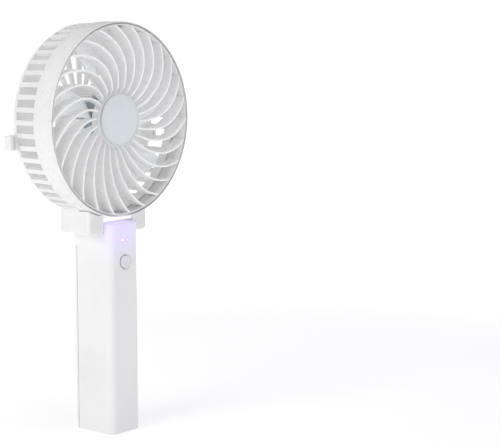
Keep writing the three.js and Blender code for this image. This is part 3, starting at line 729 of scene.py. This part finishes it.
def rounded_column(lowest, highest, front_radius, back_radius, end_radius, segments=10):
    """A block with rounded upright edges, and ends that are rounded over."""
    piece = add_block(lowest, highest)
    for y, radius in ((lowest[1], front_radius), (highest[1], back_radius)):
        bevel_edges(
            piece,
            lambda points: upright(points, abs(lowest[0]), y),
            radius,
            segments if radius > 1.5 * MM else 5,
        )
    if end_radius:
        for z in (lowest[2], highest[2]):
            bevel_edges(piece, lambda points: at_height(points, z), end_radius, 4)
    return piece


def walled_column(lowest, highest, wall):
    """A rounded column, and the hollow that leaves it with a wall."""
    sizes = bpy.context.scene.fan_handle
    inset = Vector((wall, wall, wall))
    front, back = sizes.front_corner, sizes.back_corner
    column = rounded_column(lowest, highest, front, back, sizes.edge)
    hollow = rounded_column(lowest + inset, highest - inset, front - wall, back - wall, 0, 8)
    return column, hollow


def handle_box():
    """The handle's outer corners, without its hinge knuckle."""
    sizes = bpy.context.scene.fan_handle
    lowest, highest = node_box("handle_shell")
    pin = middle("hinge_pin")
    back = high("battery_cover").y
    return (
        Vector((lowest.x, lowest.y, lowest.z)),
        Vector((highest.x, back, pin.z + sizes.pin_below_top)),
    )


class FAN_OT_handle(bpy.types.Operator):
    """Models the handle's shell with its hinge knuckle and openings"""

    bl_idname = "fan.handle"
    bl_label = "Handle shell"

    def execute(self, context):
        sizes = context.scene.fan_handle
        wall, gap = sizes.wall, sizes.gap
        lowest, highest = handle_box()
        pin = middle("hinge_pin")
        shell, hollow = walled_column(lowest, highest, wall)
        seam = highest.y - sizes.cover_depth
        over = 2 * MM
        opening = add_block(
            (lowest.x - over, seam, lowest.z - over),
            (highest.x + over, highest.y + over, lowest.z + sizes.cover_height),
        )
        carve(shell, hollow, opening)
        half = sizes.knuckle_width / 2
        knuckle = add_bar(pin, sizes.knuckle, sizes.knuckle_width)
        root = add_block(
            (-half, highest.y - wall, pin.z - sizes.knuckle), (half, pin.y, highest.z)
        )
        weld(shell, weld(knuckle, root))
        reach = 3 * MM
        for hand in (-1, 1):
            centre = Vector((hand * (half + reach / 2 + 0.01 * MM), pin.y, pin.z))
            carve(shell, add_bar(centre, sizes.knuckle + gap, reach))
        carve(shell, add_bar(pin, high("hinge_pin").y - pin.y + gap, 2 * highest.x + over))

        front = lowest.y
        button = middle("power_button")
        round_hole = turn_profile(
            [
                (0, front - 1 * MM),
                (sizes.button_radius + 1.1 * MM, front - 1 * MM),
                (sizes.button_radius + 1.1 * MM, front),
                (sizes.button_radius + 0.95 * MM, front + 0.22 * MM),
                (sizes.button_radius + 0.4 * MM, front + 0.3 * MM),
                (sizes.button_radius + gap, front + 0.45 * MM),
                (sizes.button_radius + gap, front + wall + 1 * MM),
                (0, front + wall + 1 * MM),
            ],
            button,
            64,
        )
        carve(shell, round_hole)
        for node in ("speed_light_lens", "charge_light_lens"):
            lens = middle(node)
            radius = high(node).x - lens.x + gap
            carve(
                shell,
                turn_profile(
                    [
                        (0, front - 1 * MM),
                        (radius + 0.3 * MM, front - 1 * MM),
                        (radius + 0.3 * MM, front - 0.02 * MM),
                        (radius, front + 0.25 * MM),
                        (radius, front + wall + 1 * MM),
                        (0, front + wall + 1 * MM),
                    ],
                    lens,
                    40,
                ),
            )
        socket_low, socket_high = node_box("usb_socket")
        margin = Vector((0, gap, gap))
        mouth = add_block(
            Vector((highest.x - wall - 1 * MM, socket_low.y, socket_low.z)) - margin,
            Vector((highest.x + 1 * MM, socket_high.y, socket_high.z)) + margin,
        )
        bevel_edges(
            mouth,
            lambda points: abs(points[0].x - points[1].x) > 1 * MM,
            0.9 * MM,
            4,
        )
        carve(shell, mouth)
        hand_over(
            shell,
            "handle_body",
            "handle",
            lit_shell("handle_plastic", context.scene.fan_finishes.shell).material,
            ["handle_shell"],
        )
        return {"FINISHED"}


class FAN_OT_battery_cover(bpy.types.Operator):
    """Models the sliding battery cover with its grip ridges"""

    bl_idname = "fan.battery_cover"
    bl_label = "Battery cover"

    def execute(self, context):
        sizes = context.scene.fan_handle
        wall = sizes.cover_wall
        cover_low, cover_high = node_box("battery_cover")
        lowest, _ = handle_box()
        cover, hollow = walled_column(lowest, cover_high, wall)
        over = 2 * MM
        front_half = add_block(
            (lowest.x - over, lowest.y - over, lowest.z - over),
            (cover_high.x + over, cover_low.y, cover_high.z + over),
        )
        carve(cover, hollow, front_half)
        # grip: a shallow oval dish with ridges left standing in it
        grip = Vector((0, cover_high.y, cover_high.z - 18 * MM))
        dish = add_block(
            grip + Vector((-6 * MM, -0.5 * MM, -7 * MM)), grip + Vector((6 * MM, 1 * MM, 7 * MM))
        )
        bevel_edges(
            dish, lambda points: abs(points[0].y - points[1].y) > 1 * MM, 4 * MM, 8
        )
        ridge_count = 5
        for index in range(ridge_count):
            z = grip.z + (index - (ridge_count - 1) / 2) * 2.4 * MM
            ridge = add_block(
                (-7 * MM, grip.y - 0.7 * MM, z - 0.5 * MM), (7 * MM, grip.y, z + 0.5 * MM)
            )
            bevel_edges(
                ridge,
                lambda points: all(point.y > grip.y - 0.1 * MM for point in points),
                0.35 * MM,
                2,
            )
            carve(dish, ridge)
        carve(cover, dish)
        hand_over(
            cover,
            "cover_panel",
            "battery_cover",
            moulded("cover_plastic", context.scene.fan_finishes.shell).material,
            ["battery_cover"],
        )
        return {"FINISHED"}


class FAN_OT_button_and_lights(bpy.types.Operator):
    """Models the power button and the two light lenses above it"""

    bl_idname = "fan.button_and_lights"
    bl_label = "Button and lights"

    def execute(self, context):
        sizes = context.scene.fan_handle
        finishes = context.scene.fan_finishes
        button_low, button_high = node_box("power_button")
        flange = (button_high.x - button_low.x) / 2
        face, back = button_low.y, button_high.y
        radius = sizes.button_radius
        button = turn_profile(
            [
                (0, face + 0.34 * MM),
                (0.25 * radius, face + 0.32 * MM),
                (0.5 * radius, face + 0.22 * MM),
                (0.7 * radius, face + 0.06 * MM),
                (0.8 * radius, face),
                (0.89 * radius, face + 0.06 * MM),
                (0.96 * radius, face + 0.3 * MM),
                (radius, face + 0.7 * MM),
                (radius, back - 0.6 * MM),
                (flange, back - 0.6 * MM),
                (flange, back),
                (0, back),
            ],
            middle("power_button"),
            72,
        )
        hand_over(
            button,
            "button_key",
            "button",
            moulded("button_plastic", finishes.button, 0.26, 0.15).material,
            ["power_button"],
        )
        tones = {"speed_light_lens": (0.82, 0.74, 1.0), "charge_light_lens": (0.72, 0.62, 0.95)}
        for node, tone in tones.items():
            lens_low, lens_high = node_box(node)
            radius = (lens_high.x - lens_low.x) / 2
            lens = turn_profile(
                [
                    (0, lens_low.y),
                    (0.5 * radius, lens_low.y + 0.03 * MM),
                    (0.85 * radius, lens_low.y + 0.14 * MM),
                    (radius, lens_low.y + 0.34 * MM),
                    (radius, lens_high.y),
                    (0, lens_high.y),
                ],
                middle(node),
                32,
            )
            hand_over(
                lens,
                node.replace("light_lens", "light_dome"),
                "handle",
                light_window(node.replace("_lens", ""), tone, 0.42).material,
                [node],
            )
        return {"FINISHED"}


# ---------------------------------------------------------------- grille


def head_centre():
    ring = middle("front_grille")
    return Vector((0, 0, ring.z))


def ring_radius():
    return high("front_grille").x


def rim_plane():
    return high("front_grille").y - bpy.context.scene.fan_head.ring_depth


def round_the_head(radius, turn, y):
    """A point at a radius and a turn about the fan's axis, seen from the front."""
    centre = head_centre()
    return Vector((radius * math.cos(turn), y, centre.z + radius * math.sin(turn)))


def vane_lines(steps=18):
    """The front and rear edges of the first vane, from inside the hub to inside the ring."""
    sizes = bpy.context.scene.fan_head
    inner = sizes.hub_radius - 0.5 * MM
    outer = ring_radius() - 1.7 * MM
    fronts, rears = [], []
    for step in range(steps + 1):
        part = step / steps
        turn = sizes.vane_start + sizes.vane_sweep * part**sizes.vane_curve
        radius = inner + (outer - inner) * part
        swell = sizes.vane_dome * math.sin(math.pi * part**1.415)
        recess = 3.2 * MM * math.exp(-part / 0.07)
        y = rim_plane() + 2.2 * MM * (1 - part) - swell + recess
        y = max(y, low("front_grille").y + 0.02 * MM)
        fronts.append(round_the_head(radius, turn, y))
        rears.append(round_the_head(radius, turn, rim_plane() + sizes.vane_depth))
    middles = [a.lerp(b, 0.5) for a, b in zip(fronts, rears)]
    return fronts, middles, rears


class FAN_OT_grille(bpy.types.Operator):
    """Models the front grille: outer ring, swirl vanes and hub"""

    bl_idname = "fan.grille"
    bl_label = "Front grille"

    def execute(self, context):
        sizes = context.scene.fan_head
        finishes = context.scene.fan_finishes
        centre = head_centre()
        radius, rim = ring_radius(), rim_plane()
        back = high("front_grille").y
        inner = radius - sizes.ring_wall
        groove = radius - 0.5 * MM
        seat = radius - 1.25 * MM
        ring = turn_profile(
            [
                (radius, back),
                (radius, rim + 1.0 * MM),
                (radius - 0.06 * MM, rim + 0.45 * MM),
                (radius - 0.22 * MM, rim + 0.1 * MM),
                (radius - 0.34 * MM, rim),
                (radius - 0.46 * MM, rim + 0.1 * MM),
                (groove, rim + 0.3 * MM),
                (groove, rim + 2.4 * MM),
                (seat, rim + 2.4 * MM),
                (seat, rim + 0.75 * MM),
                (seat - 0.14 * MM, rim + 0.52 * MM),
                (seat - 0.5 * MM, rim + 0.5 * MM),
                (seat - 0.72 * MM, rim + 0.8 * MM),
                (seat - 0.75 * MM, rim + 3.0 * MM),
                (inner, rim + 4.2 * MM),
                (inner, back),
            ],
            centre,
            208,
        )
        hub = sizes.hub_radius
        hub_face = low("hub_cap").y + 0.35 * MM
        hub_back = middle("front_grille").y + 3.4 * MM
        collar = turn_profile(
            [
                (hub - 1.5 * MM, hub_face + 1.3 * MM),
                (hub - 0.2 * MM, hub_face + 1.3 * MM),
                (hub, hub_face + 1.5 * MM),
                (hub, hub_back),
                (hub - 1.4 * MM, hub_back),
            ],
            centre,
            104,
        )
        vane = skin_lines(vane_lines(), sizes.vane_thickness, 0.3 * MM, 3)
        copy_round(vane, sizes.vane_count, centre)
        weld(ring, collar)
        weld(ring, vane)
        hand_over(
            ring,
            "swirl_grille",
            "head",
            # painted glow inside the grille's ring
            painted_inner_glow(
                # the grille's plastic gets only a faint painted highlight on its edges
                moulded("grille_plastic", finishes.grille, 0.3, edge_highlight=0.1, glow_through=0.15), inner
            ).material,
            ["front_grille"],
        )
        return {"FINISHED"}


class FAN_OT_hub_cap(bpy.types.Operator):
    """Models the cap on the grille's hub, with its bright rim"""

    bl_idname = "fan.hub_cap"
    bl_label = "Hub cap"

    def execute(self, context):
        sizes = context.scene.fan_head
        finishes = context.scene.fan_finishes
        face, back = low("hub_cap").y, high("hub_cap").y
        hub = (high("hub_cap").x - low("hub_cap").x) / 2
        skin = face + 1.0 * MM
        spigot = hub - sizes.ring_wall
        rim_inner = hub - 0.8 * MM
        profile = [
            (0, face + 0.42 * MM),
            (0.5 * hub, face + 0.42 * MM),
            (rim_inner - 0.5 * MM, face + 0.46 * MM),
            (rim_inner - 0.12 * MM, face + 0.5 * MM),
            (rim_inner, face + 0.4 * MM),
            (rim_inner + 0.12 * MM, face + 0.06 * MM),
            (rim_inner + 0.4 * MM, face),
            (hub - 0.35 * MM, face + 0.04 * MM),
            (hub - 0.08 * MM, face + 0.25 * MM),
            (hub, face + 0.55 * MM),
            (hub, skin),
            (spigot, skin),
            (spigot, back),
            (spigot - 1 * MM, back),
            (spigot - 1 * MM, skin + 0.2 * MM),
            (0, skin + 0.2 * MM),
        ]
        cap = turn_profile(profile, head_centre(), 104)
        cap.data.materials.append(
            moulded("cap_rim", shaded(finishes.grille, 0.86), 0.25, 0.15).material
        )
        cap.data.materials.append(
            moulded("cap_face", finishes.cap, 0.22, 0.1).material
        )
        centre = head_centre()

        def on_face(points):
            return all(
                math.hypot(point.x, point.z - centre.z) < rim_inner + 0.01 * MM
                and point.y < face + 0.6 * MM
                for point in points
            )

        choose(cap, "FACE", on_face)
        cap.active_material_index = 1
        bpy.ops.object.material_slot_assign()
        leave_edit()
        hand_over(cap, "hub_badge", "head", None, ["hub_cap"])
        return {"FINISHED"}


# ---------------------------------------------------------------- rear casing


def casing_profile():
    """The casing's outer surface, from the lip inside the ring to the motor's seat."""
    sizes = bpy.context.scene.fan_head
    radius = ring_radius()
    front = high("front_grille").y
    back = high("motor_cover").y
    lip = radius - 2 * MM
    body = radius - 0.5 * MM
    seat = high("motor_cover").x + 0.3 * MM
    return [
        (lip, front - 3.1 * MM),
        (lip, front),
        (body - 0.25 * MM, front + 0.3 * MM),
        (body, front + 0.55 * MM),
        (body, front + sizes.window_start),
        (body - 0.15 * MM, (front + sizes.window_start + back - sizes.window_end) / 2),
        (body - 0.36 * MM, back - sizes.window_end),
        (body - 0.55 * MM, back - 5.0 * MM),
        (body - 1.1 * MM, back - 3.6 * MM),
        (body - 2.1 * MM, back - 2.3 * MM),
        (body - 3.6 * MM, back - 1.2 * MM),
        (body - 5.4 * MM, back - 0.45 * MM),
        (body - 7.4 * MM, back),
        (radius - 9 * MM, back),
        (34 * MM, back),
        (26 * MM, back),
        (17.6 * MM, back),
        (seat + 1.6 * MM, back),
        (seat + 0.4 * MM, back),
        (seat, back - 0.4 * MM),
        (seat, back - 2.5 * MM),
        (seat, low("motor_can").y - 0.3 * MM),
        (3.2 * MM, low("motor_can").y - 0.3 * MM),
    ]


# the casing is spun in sectors, each with two side windows and one slot in its back
SECTOR_COUNT = 24
SECTOR_COLUMNS = 10
WINDOW_COLUMNS = (1, 2, 3, 6, 7, 8)
SLOT_COLUMNS = range(2, 8)


def mean(points):
    return sum(points, Vector()) / len(points)


def in_columns(points, columns):
    """Whether a face of the spun casing lies in one of the columns of its sector."""
    place = mean(points) - head_centre()
    turn = math.atan2(place.z, place.x) % FULL_TURN
    column = int(turn / FULL_TURN * SECTOR_COLUMNS * SECTOR_COUNT + 1e-6)
    return column % SECTOR_COLUMNS in columns


def near_foot(points):
    """Whether a face is where the fork joins the casing."""
    place = mean(points)
    reach = high("hinge_cap_right").x + 7 * MM
    return abs(place.x) < reach and place.z < head_centre().z


def casing_shell():
    sizes = bpy.context.scene.fan_head
    front = high("front_grille").y
    back = high("motor_cover").y
    shell = turn_profile(
        casing_profile(), head_centre(), SECTOR_COLUMNS * SECTOR_COUNT, closed=False
    )
    centre = head_centre()

    def is_window(points):
        return (
            front + sizes.window_start < mean(points).y < back - sizes.window_end
            and in_columns(points, WINDOW_COLUMNS)
            and not near_foot(points)
        )

    def is_slot(points):
        away = [math.hypot(point.x, point.z - centre.z) for point in points]
        return (
            min(away) > 17.5 * MM
            and max(away) < 42.2 * MM
            and all(point.y > back - 0.01 * MM for point in points)
            and in_columns(points, SLOT_COLUMNS)
        )

    choose(shell, "FACE", lambda points: is_window(points) or is_slot(points))
    bpy.ops.mesh.delete(type="FACE")
    leave_edit()
    modify(
        shell,
        "SOLIDIFY",
        thickness=sizes.casing_wall,
        offset=-1,
        use_even_offset=True,
        use_quality_normals=True,
    )
    modify(
        shell,
        "BEVEL",
        width=0.3 * MM,
        segments=2,
        limit_method="ANGLE",
        angle_limit=math.radians(50),
        use_clamp_overlap=True,
    )
    return shell


def ear():
    """The right ear of the fork, with a round rear edge and a round foot."""
    sizes = bpy.context.scene.fan_head
    inner = high("handle_shell").x + 0.4 * MM
    outer = inner + sizes.ear_thickness
    lowest = Vector((inner, low("rear_cover").y, low("rear_cover").z))
    highest = Vector((outer, high("rear_cover").y, head_centre().z - 0.84 * ring_radius()))
    piece = add_block(lowest, highest)
    choose(
        piece,
        "VERT",
        lambda points: points[0].y > highest.y - MM and points[0].x > outer - MM,
    )
    bpy.ops.transform.translate(value=(-sizes.ear_taper, 0, 0))
    leave_edit()

    def outer_edge(points, y):
        a, b = points
        return (
            abs(a.y - b.y) < 1e-5
            and abs(a.y - y) < 1e-4
            and abs(a.z - b.z) > 5 * MM
            and min(a.x, b.x) > inner + MM
        )

    bevel_edges(piece, lambda points: outer_edge(points, highest.y), sizes.ear_corner, 14)
    bevel_edges(piece, lambda points: outer_edge(points, lowest.y), 2.4 * MM, 6)
    bevel_edges(
        piece,
        lambda points: at_height(points, lowest.z)
        and max(point.x for point in points) > inner + 0.1 * MM,
        sizes.ear_foot,
        6,
    )
    return piece


def plug_radius():
    return (high("hinge_cap_right").z - low("hinge_cap_right").z) / 2


def plug_bar(hand, radius):
    """A bar through one ear's outer side, from the end of the hinge pin outwards."""
    pin = middle("hinge_pin")
    start = low("hinge_cap_right").x
    long = 10 * MM
    return add_bar(Vector((hand * (start + long / 2), pin.y, pin.z)), radius, long)


def lug():
    """The right-hand side lug: a rounded tab with a hooked groove."""
    centre = head_centre()
    radius = ring_radius()
    tip = high("rear_cover").x
    back = high("motor_cover").y - 1.5 * MM
    z = centre.z - 10.4 * MM
    piece = add_block(
        (radius - 3 * MM, back - 5 * MM, z - 3.8 * MM), (tip, back, z + 3.8 * MM)
    )
    bevel_edges(
        piece,
        lambda points: all(point.x > tip - 0.1 * MM for point in points),
        0.9 * MM,
        4,
    )
    groove = add_block(
        (tip - 3.4 * MM, back - 6 * MM, z - 5 * MM), (tip - 2.2 * MM, back - 4.3 * MM, z + 5 * MM)
    )
    return carve(piece, groove)


def fork():
    """Both ears and the neck between them, cut to the casing's and the ring's curves."""
    sizes = bpy.context.scene.fan_head
    handle = bpy.context.scene.fan_handle
    centre = head_centre()
    radius = ring_radius()
    right = ear()
    left = mirror_copy(right)
    pin = middle("hinge_pin")
    inner = high("handle_shell").x + 0.4 * MM
    top = pin.z + handle.pin_below_top
    neck = add_block(
        (-inner - 1 * MM, low("rear_cover").y + 1 * MM, top + 0.8 * MM),
        (inner + 1 * MM, pin.y - handle.knuckle - 0.5 * MM, centre.z - radius + 3 * MM),
    )
    bevel_edges(
        neck,
        lambda points: at_height(points, top + 0.8 * MM)
        and abs(points[0].x - points[1].x) > 5 * MM,
        0.5 * MM,
        3,
    )
    weld(right, left, neck)
    front = high("front_grille").y + 0.3 * MM
    bore = add_bar(
        Vector((0, front - 20 * MM, centre.z)), radius + 0.3 * MM, 40 * MM, "Y", 256
    )
    inside = add_bar(Vector((0, 0, centre.z)), radius - 1.1 * MM, 80 * MM, "Y", 256)
    carve(right, bore, inside)
    for hand in (-1, 1):
        carve(right, plug_bar(hand, plug_radius() + 0.12 * MM))
    carve(right, add_bar(pin, 1.8 * MM, 2 * high("hinge_cap_right").x))
    return right


class FAN_OT_casing(bpy.types.Operator):
    """Models the rear casing with its openings, fork and lugs"""

    bl_idname = "fan.casing"
    bl_label = "Rear casing"

    def execute(self, context):
        finishes = context.scene.fan_finishes
        shell = casing_shell()
        right = lug()
        left = mirror_copy(right)
        inside = add_bar(head_centre(), ring_radius() - 1.9 * MM, 80 * MM, "Y", 256)
        weld(right, left)
        carve(right, inside)
        weld(shell, fork(), right)
        hand_over(
            shell,
            "casing_body",
            "head",
            # painted glow inside the casing, and painted light on its neck
            painted_inner_glow(
                moulded("casing_plastic", finishes.casing, 0.36, glow_through=0.15),
                ring_radius() - 1.9 * MM,
            ).material,
            ["rear_cover"],
        )
        return {"FINISHED"}


class FAN_OT_covers(bpy.types.Operator):
    """Models the motor cover on the back and the two hinge caps"""

    bl_idname = "fan.covers"
    bl_label = "Motor cover and hinge caps"

    def execute(self, context):
        finishes = context.scene.fan_finishes
        front, back = low("motor_cover").y, high("motor_cover").y
        radius = high("motor_cover").x
        cover = turn_profile(
            [
                (0, back - 0.35 * MM),
                (6.5 * MM, back - 0.3 * MM),
                (7.2 * MM, back - 0.05 * MM),
                (7.8 * MM, back),
                (radius - 1.6 * MM, back),
                (radius - 1.3 * MM, back - 0.25 * MM),
                (radius - 1.0 * MM, back),
                (radius - 0.3 * MM, back - 0.04 * MM),
                (radius, back - 0.35 * MM),
                (radius, front),
                (0, front),
            ],
            head_centre(),
            96,
        )
        hand_over(
            cover,
            "motor_disc",
            "head",
            moulded("motor_cover_plastic", finishes.casing, 0.3).material,
            ["motor_cover"],
        )
        plug = moulded("hinge_plug_plastic", finishes.casing, 0.32).material
        for hand, node in ((-1, "hinge_cap_left"), (1, "hinge_cap_right")):
            cap = plug_bar(hand, plug_radius())
            side = ear()
            if hand < 0:
                right, side = side, mirror_copy(side)
                bpy.data.objects.remove(right)
            modify(cap, "BOOLEAN", operation="INTERSECT", solver="EXACT", object=side)
            bpy.data.objects.remove(side)
            modify(
                cap,
                "BEVEL",
                width=0.12 * MM,
                segments=2,
                limit_method="ANGLE",
                angle_limit=math.radians(50),
            )
            name = node.replace("hinge_cap", "pin_plug")
            hand_over(cap, name, "head", plug, [node])
        return {"FINISHED"}


# ---------------------------------------------------------------- impeller


def blade_lines(stations=7, chord_points=9):
    """Lines of points across one blade, from the hub to the tip."""
    lowest, highest = node_box("impeller")
    centre_y = (lowest.y + highest.y) / 2
    half_depth = (highest.y - lowest.y) / 2
    tip = max(abs(lowest.x), highest.x, highest.z - head_centre().z) - 0.4 * MM
    root = 11.8 * MM
    lines = []
    for station in range(stations):
        part = station / (stations - 1)
        radius = root + (tip - root) * part
        chord = (13.5 + 7.5 * math.sin(math.pi * min(1.0, part * 1.15) / 2.1)) * MM
        pitch = math.radians(44 - 14 * part)
        line = []
        for index in range(chord_points):
            along = index / (chord_points - 1) - 0.5
            camber = 1.5 * MM * (1 - (2 * along) ** 2) * (0.6 + 0.4 * part)
            around = along * chord * math.cos(pitch) + camber * math.sin(pitch)
            y = along * chord * math.sin(pitch) - camber * math.cos(pitch)
            y = max(-half_depth + 0.7 * MM, min(half_depth - 0.7 * MM, y))
            trail = 0.16 * part
            line.append(round_the_head(radius, trail - around / radius, centre_y + y))
        lines.append(line)
    return lines


def wheel_finish(hub):
    """The impeller's plastic, darker on its hub than on its blades: painted shade on the hub,
    with the painted glow only on the blades.
    """
    finishes = bpy.context.scene.fan_finishes
    plastic = moulded("impeller_plastic", finishes.blade, 0.28, glow_through=0.15)
    graph = painted_inner_glow(plastic, ring_radius())
    # painted shade: the hub, in shadow behind the grille's hub, is darkened and gets none of the
    # painted glow
    painted_hub_shade = graph.within(hub + 0.1 * MM, 2.4 * MM)
    graph.feed("Base Color", graph.blend_colours(painted_hub_shade, graph.fed("Base Color"), finishes.hub))
    blades = graph.combine(1.0, painted_hub_shade, "SUBTRACT")
    graph.feed("Emission Strength", graph.combine(graph.fed("Emission Strength"), blades))
    return graph


class FAN_OT_impeller(bpy.types.Operator):
    """Models the impeller: a domed hub with twisted blades"""

    bl_idname = "fan.impeller"
    bl_label = "Impeller"

    def execute(self, context):
        sizes = context.scene.fan_head
        finishes = context.scene.fan_finishes
        lowest = low("impeller")
        front = lowest.y
        hub = 13 * MM
        back = front + 7.6 * MM
        rotor = turn_profile(
            [
                (2.1 * MM, front + 0.05 * MM),
                (3.2 * MM, front + 0.05 * MM),
                (3.5 * MM, front + 0.3 * MM),
                (9.5 * MM, front + 0.3 * MM),
                (11.6 * MM, front + 0.6 * MM),
                (12.6 * MM, front + 1.3 * MM),
                (hub, front + 2.4 * MM),
                (hub, back),
                (hub - 1.2 * MM, back),
                (hub - 1.2 * MM, front + 2.6 * MM),
                (hub - 2.2 * MM, front + 1.6 * MM),
                (3.2 * MM, front + 1.5 * MM),
                (3.0 * MM, back - 0.4 * MM),
                (2.1 * MM, back - 0.4 * MM),
            ],
            head_centre(),
            84,
        )
        blade = skin_lines(blade_lines(), sizes.blade_thickness, 0.35 * MM, 2)
        copy_round(blade, sizes.blade_count, head_centre())
        bore = add_bar(head_centre(), 11.9 * MM, 60 * MM, "Y", 84)
        carve(blade, bore)
        weld(rotor, blade)
        hand_over(
            rotor,
            "fan_wheel",
            "impeller",
            wheel_finish(hub).material,
            ["impeller"],
        )
        return {"FINISHED"}


# ---------------------------------------------------------------- studio


def aim(thing, target):
    direction = Vector(target) - thing.location
    thing.rotation_euler = direction.to_track_quat("-Z", "Y").to_euler()


def add_softbox(name, place, target, size, power, tone):
    clear_selection()
    bpy.ops.object.light_add(type="AREA", location=place)
    lamp = bpy.context.object
    lamp.name = name
    lamp.data.shape = "DISK"
    lamp.data.size = size
    lamp.data.energy = power
    lamp.data.color = tone
    aim(lamp, target)
    return lamp


class FAN_OT_studio(bpy.types.Operator):
    """Adds the floor, the surrounding light, the soft lights and the camera"""

    bl_idname = "fan.studio"
    bl_label = "Studio"

    def execute(self, context):
        studio = context.scene.fan_studio
        scene = context.scene
        clear_selection()
        bpy.ops.mesh.primitive_grid_add(x_subdivisions=8, y_subdivisions=8, size=8)
        floor = context.object
        floor.name = "studio_floor"
        graph = Graph("floor_paint")
        patch = graph.noise(6, 3)
        paints = (0.93, 0.93, 0.935), (0.955, 0.955, 0.96)
        graph.feed("Base Color", graph.blend_colours(patch, *paints))
        graph.feed("Roughness", graph.spread(patch, 0.3, 0.7, 0.5, 0.6))
        graph.bump(graph.noise(900, 2), 0.05, 0.1 * MM)
        graph.feed("Emission Color", (1, 1, 1, 1))
        away = graph.node("ShaderNodeVectorMath", operation="LENGTH")
        graph.join(graph.place, away.inputs[0])
        graph.feed(
            "Emission Strength",
            graph.spread(away.outputs["Value"], 0.25, 0.9, studio.floor_lift, studio.far_lift),
        )
        floor.data.materials.append(graph.material)

        world = bpy.data.worlds.new("studio_surround")
        world.use_nodes = True
        nodes, links = world.node_tree.nodes, world.node_tree.links
        surround = nodes["Background"]
        surround.inputs["Color"].default_value = (0.985, 0.99, 1.0, 1)
        surround.inputs["Strength"].default_value = studio.surround
        backdrop = nodes.new("ShaderNodeBackground")
        backdrop.inputs["Strength"].default_value = 1.05
        backdrop.inputs["Color"].default_value = (1, 1, 1, 1)
        seen = nodes.new("ShaderNodeLightPath").outputs["Is Camera Ray"]
        choice = nodes.new("ShaderNodeMixShader")
        links.new(seen, choice.inputs["Fac"])
        links.new(surround.outputs[0], choice.inputs[1])
        links.new(backdrop.outputs[0], choice.inputs[2])
        links.new(choice.outputs[0], nodes["World Output"].inputs["Surface"])
        scene.world = world
        scene.view_settings.view_transform = "Standard"

        target = (0, 0, 0.13)
        add_softbox(
            "side_softbox", (-1.3, 0.1, 0.55), target, 0.9, studio.side_light, (1, 0.985, 0.96)
        )
        add_softbox(
            "top_softbox", (0.1, -0.25, 1.3), target, 0.8, studio.top_light, (0.94, 0.94, 1)
        )
        add_softbox(
            "front_softbox", (-0.25, -1.5, 0.3), target, 0.5, studio.front_light, (1, 1, 1)
        )
        add_softbox(
            "back_softbox", (0.5, 1.4, 0.5), target, 1.0, studio.back_light, (1, 1, 1)
        )

        bpy.ops.object.camera_add(
            location=studio.camera_place,
            rotation=(math.pi / 2 - studio.camera_pitch, 0, studio.camera_turn),
        )
        camera = context.object
        camera.name = "studio_camera"
        camera.data.sensor_width = 36
        camera.data.lens = studio.lens
        camera.data.clip_end = 100
        scene.camera = camera
        return {"FINISHED"}


# ---------------------------------------------------------------- add-on


class FAN_PT_panel(bpy.types.Panel):
    """Lists the fan's pieces in the sidebar"""

    bl_idname = "FAN_PT_panel"
    bl_label = "Folding fan"
    bl_space_type = "VIEW_3D"
    bl_region_type = "UI"
    bl_category = "Fan"

    def draw(self, context):
        for operator in OPERATORS:
            self.layout.operator(operator.bl_idname)


OPERATORS = (
    FAN_OT_inner_finishes,
    FAN_OT_handle,
    FAN_OT_battery_cover,
    FAN_OT_button_and_lights,
    FAN_OT_grille,
    FAN_OT_hub_cap,
    FAN_OT_casing,
    FAN_OT_covers,
    FAN_OT_impeller,
    FAN_OT_studio,
)
GROUPS = {
    "fan_handle": HandleSizes,
    "fan_head": HeadSizes,
    "fan_finishes": FinishColours,
    "fan_studio": Studio,
}


def register():
    for group in GROUPS.values():
        bpy.utils.register_class(group)
    for name, group in GROUPS.items():
        setattr(bpy.types.Scene, name, bpy.props.PointerProperty(type=group))
    for operator in OPERATORS:
        bpy.utils.register_class(operator)
    bpy.utils.register_class(FAN_PT_panel)


def unregister():
    bpy.utils.unregister_class(FAN_PT_panel)
    for operator in reversed(OPERATORS):
        bpy.utils.unregister_class(operator)
    for name in GROUPS:
        delattr(bpy.types.Scene, name)
    for group in reversed(list(GROUPS.values())):
        bpy.utils.unregister_class(group)


def main():
    register()
    bpy.ops.fan.inner_finishes()
    bpy.ops.fan.handle()
    bpy.ops.fan.battery_cover()
    bpy.ops.fan.button_and_lights()
    bpy.ops.fan.grille()
    bpy.ops.fan.hub_cap()
    bpy.ops.fan.casing()
    bpy.ops.fan.covers()
    bpy.ops.fan.impeller()
    bpy.ops.fan.studio()


if __name__ == "__main__":
    main()
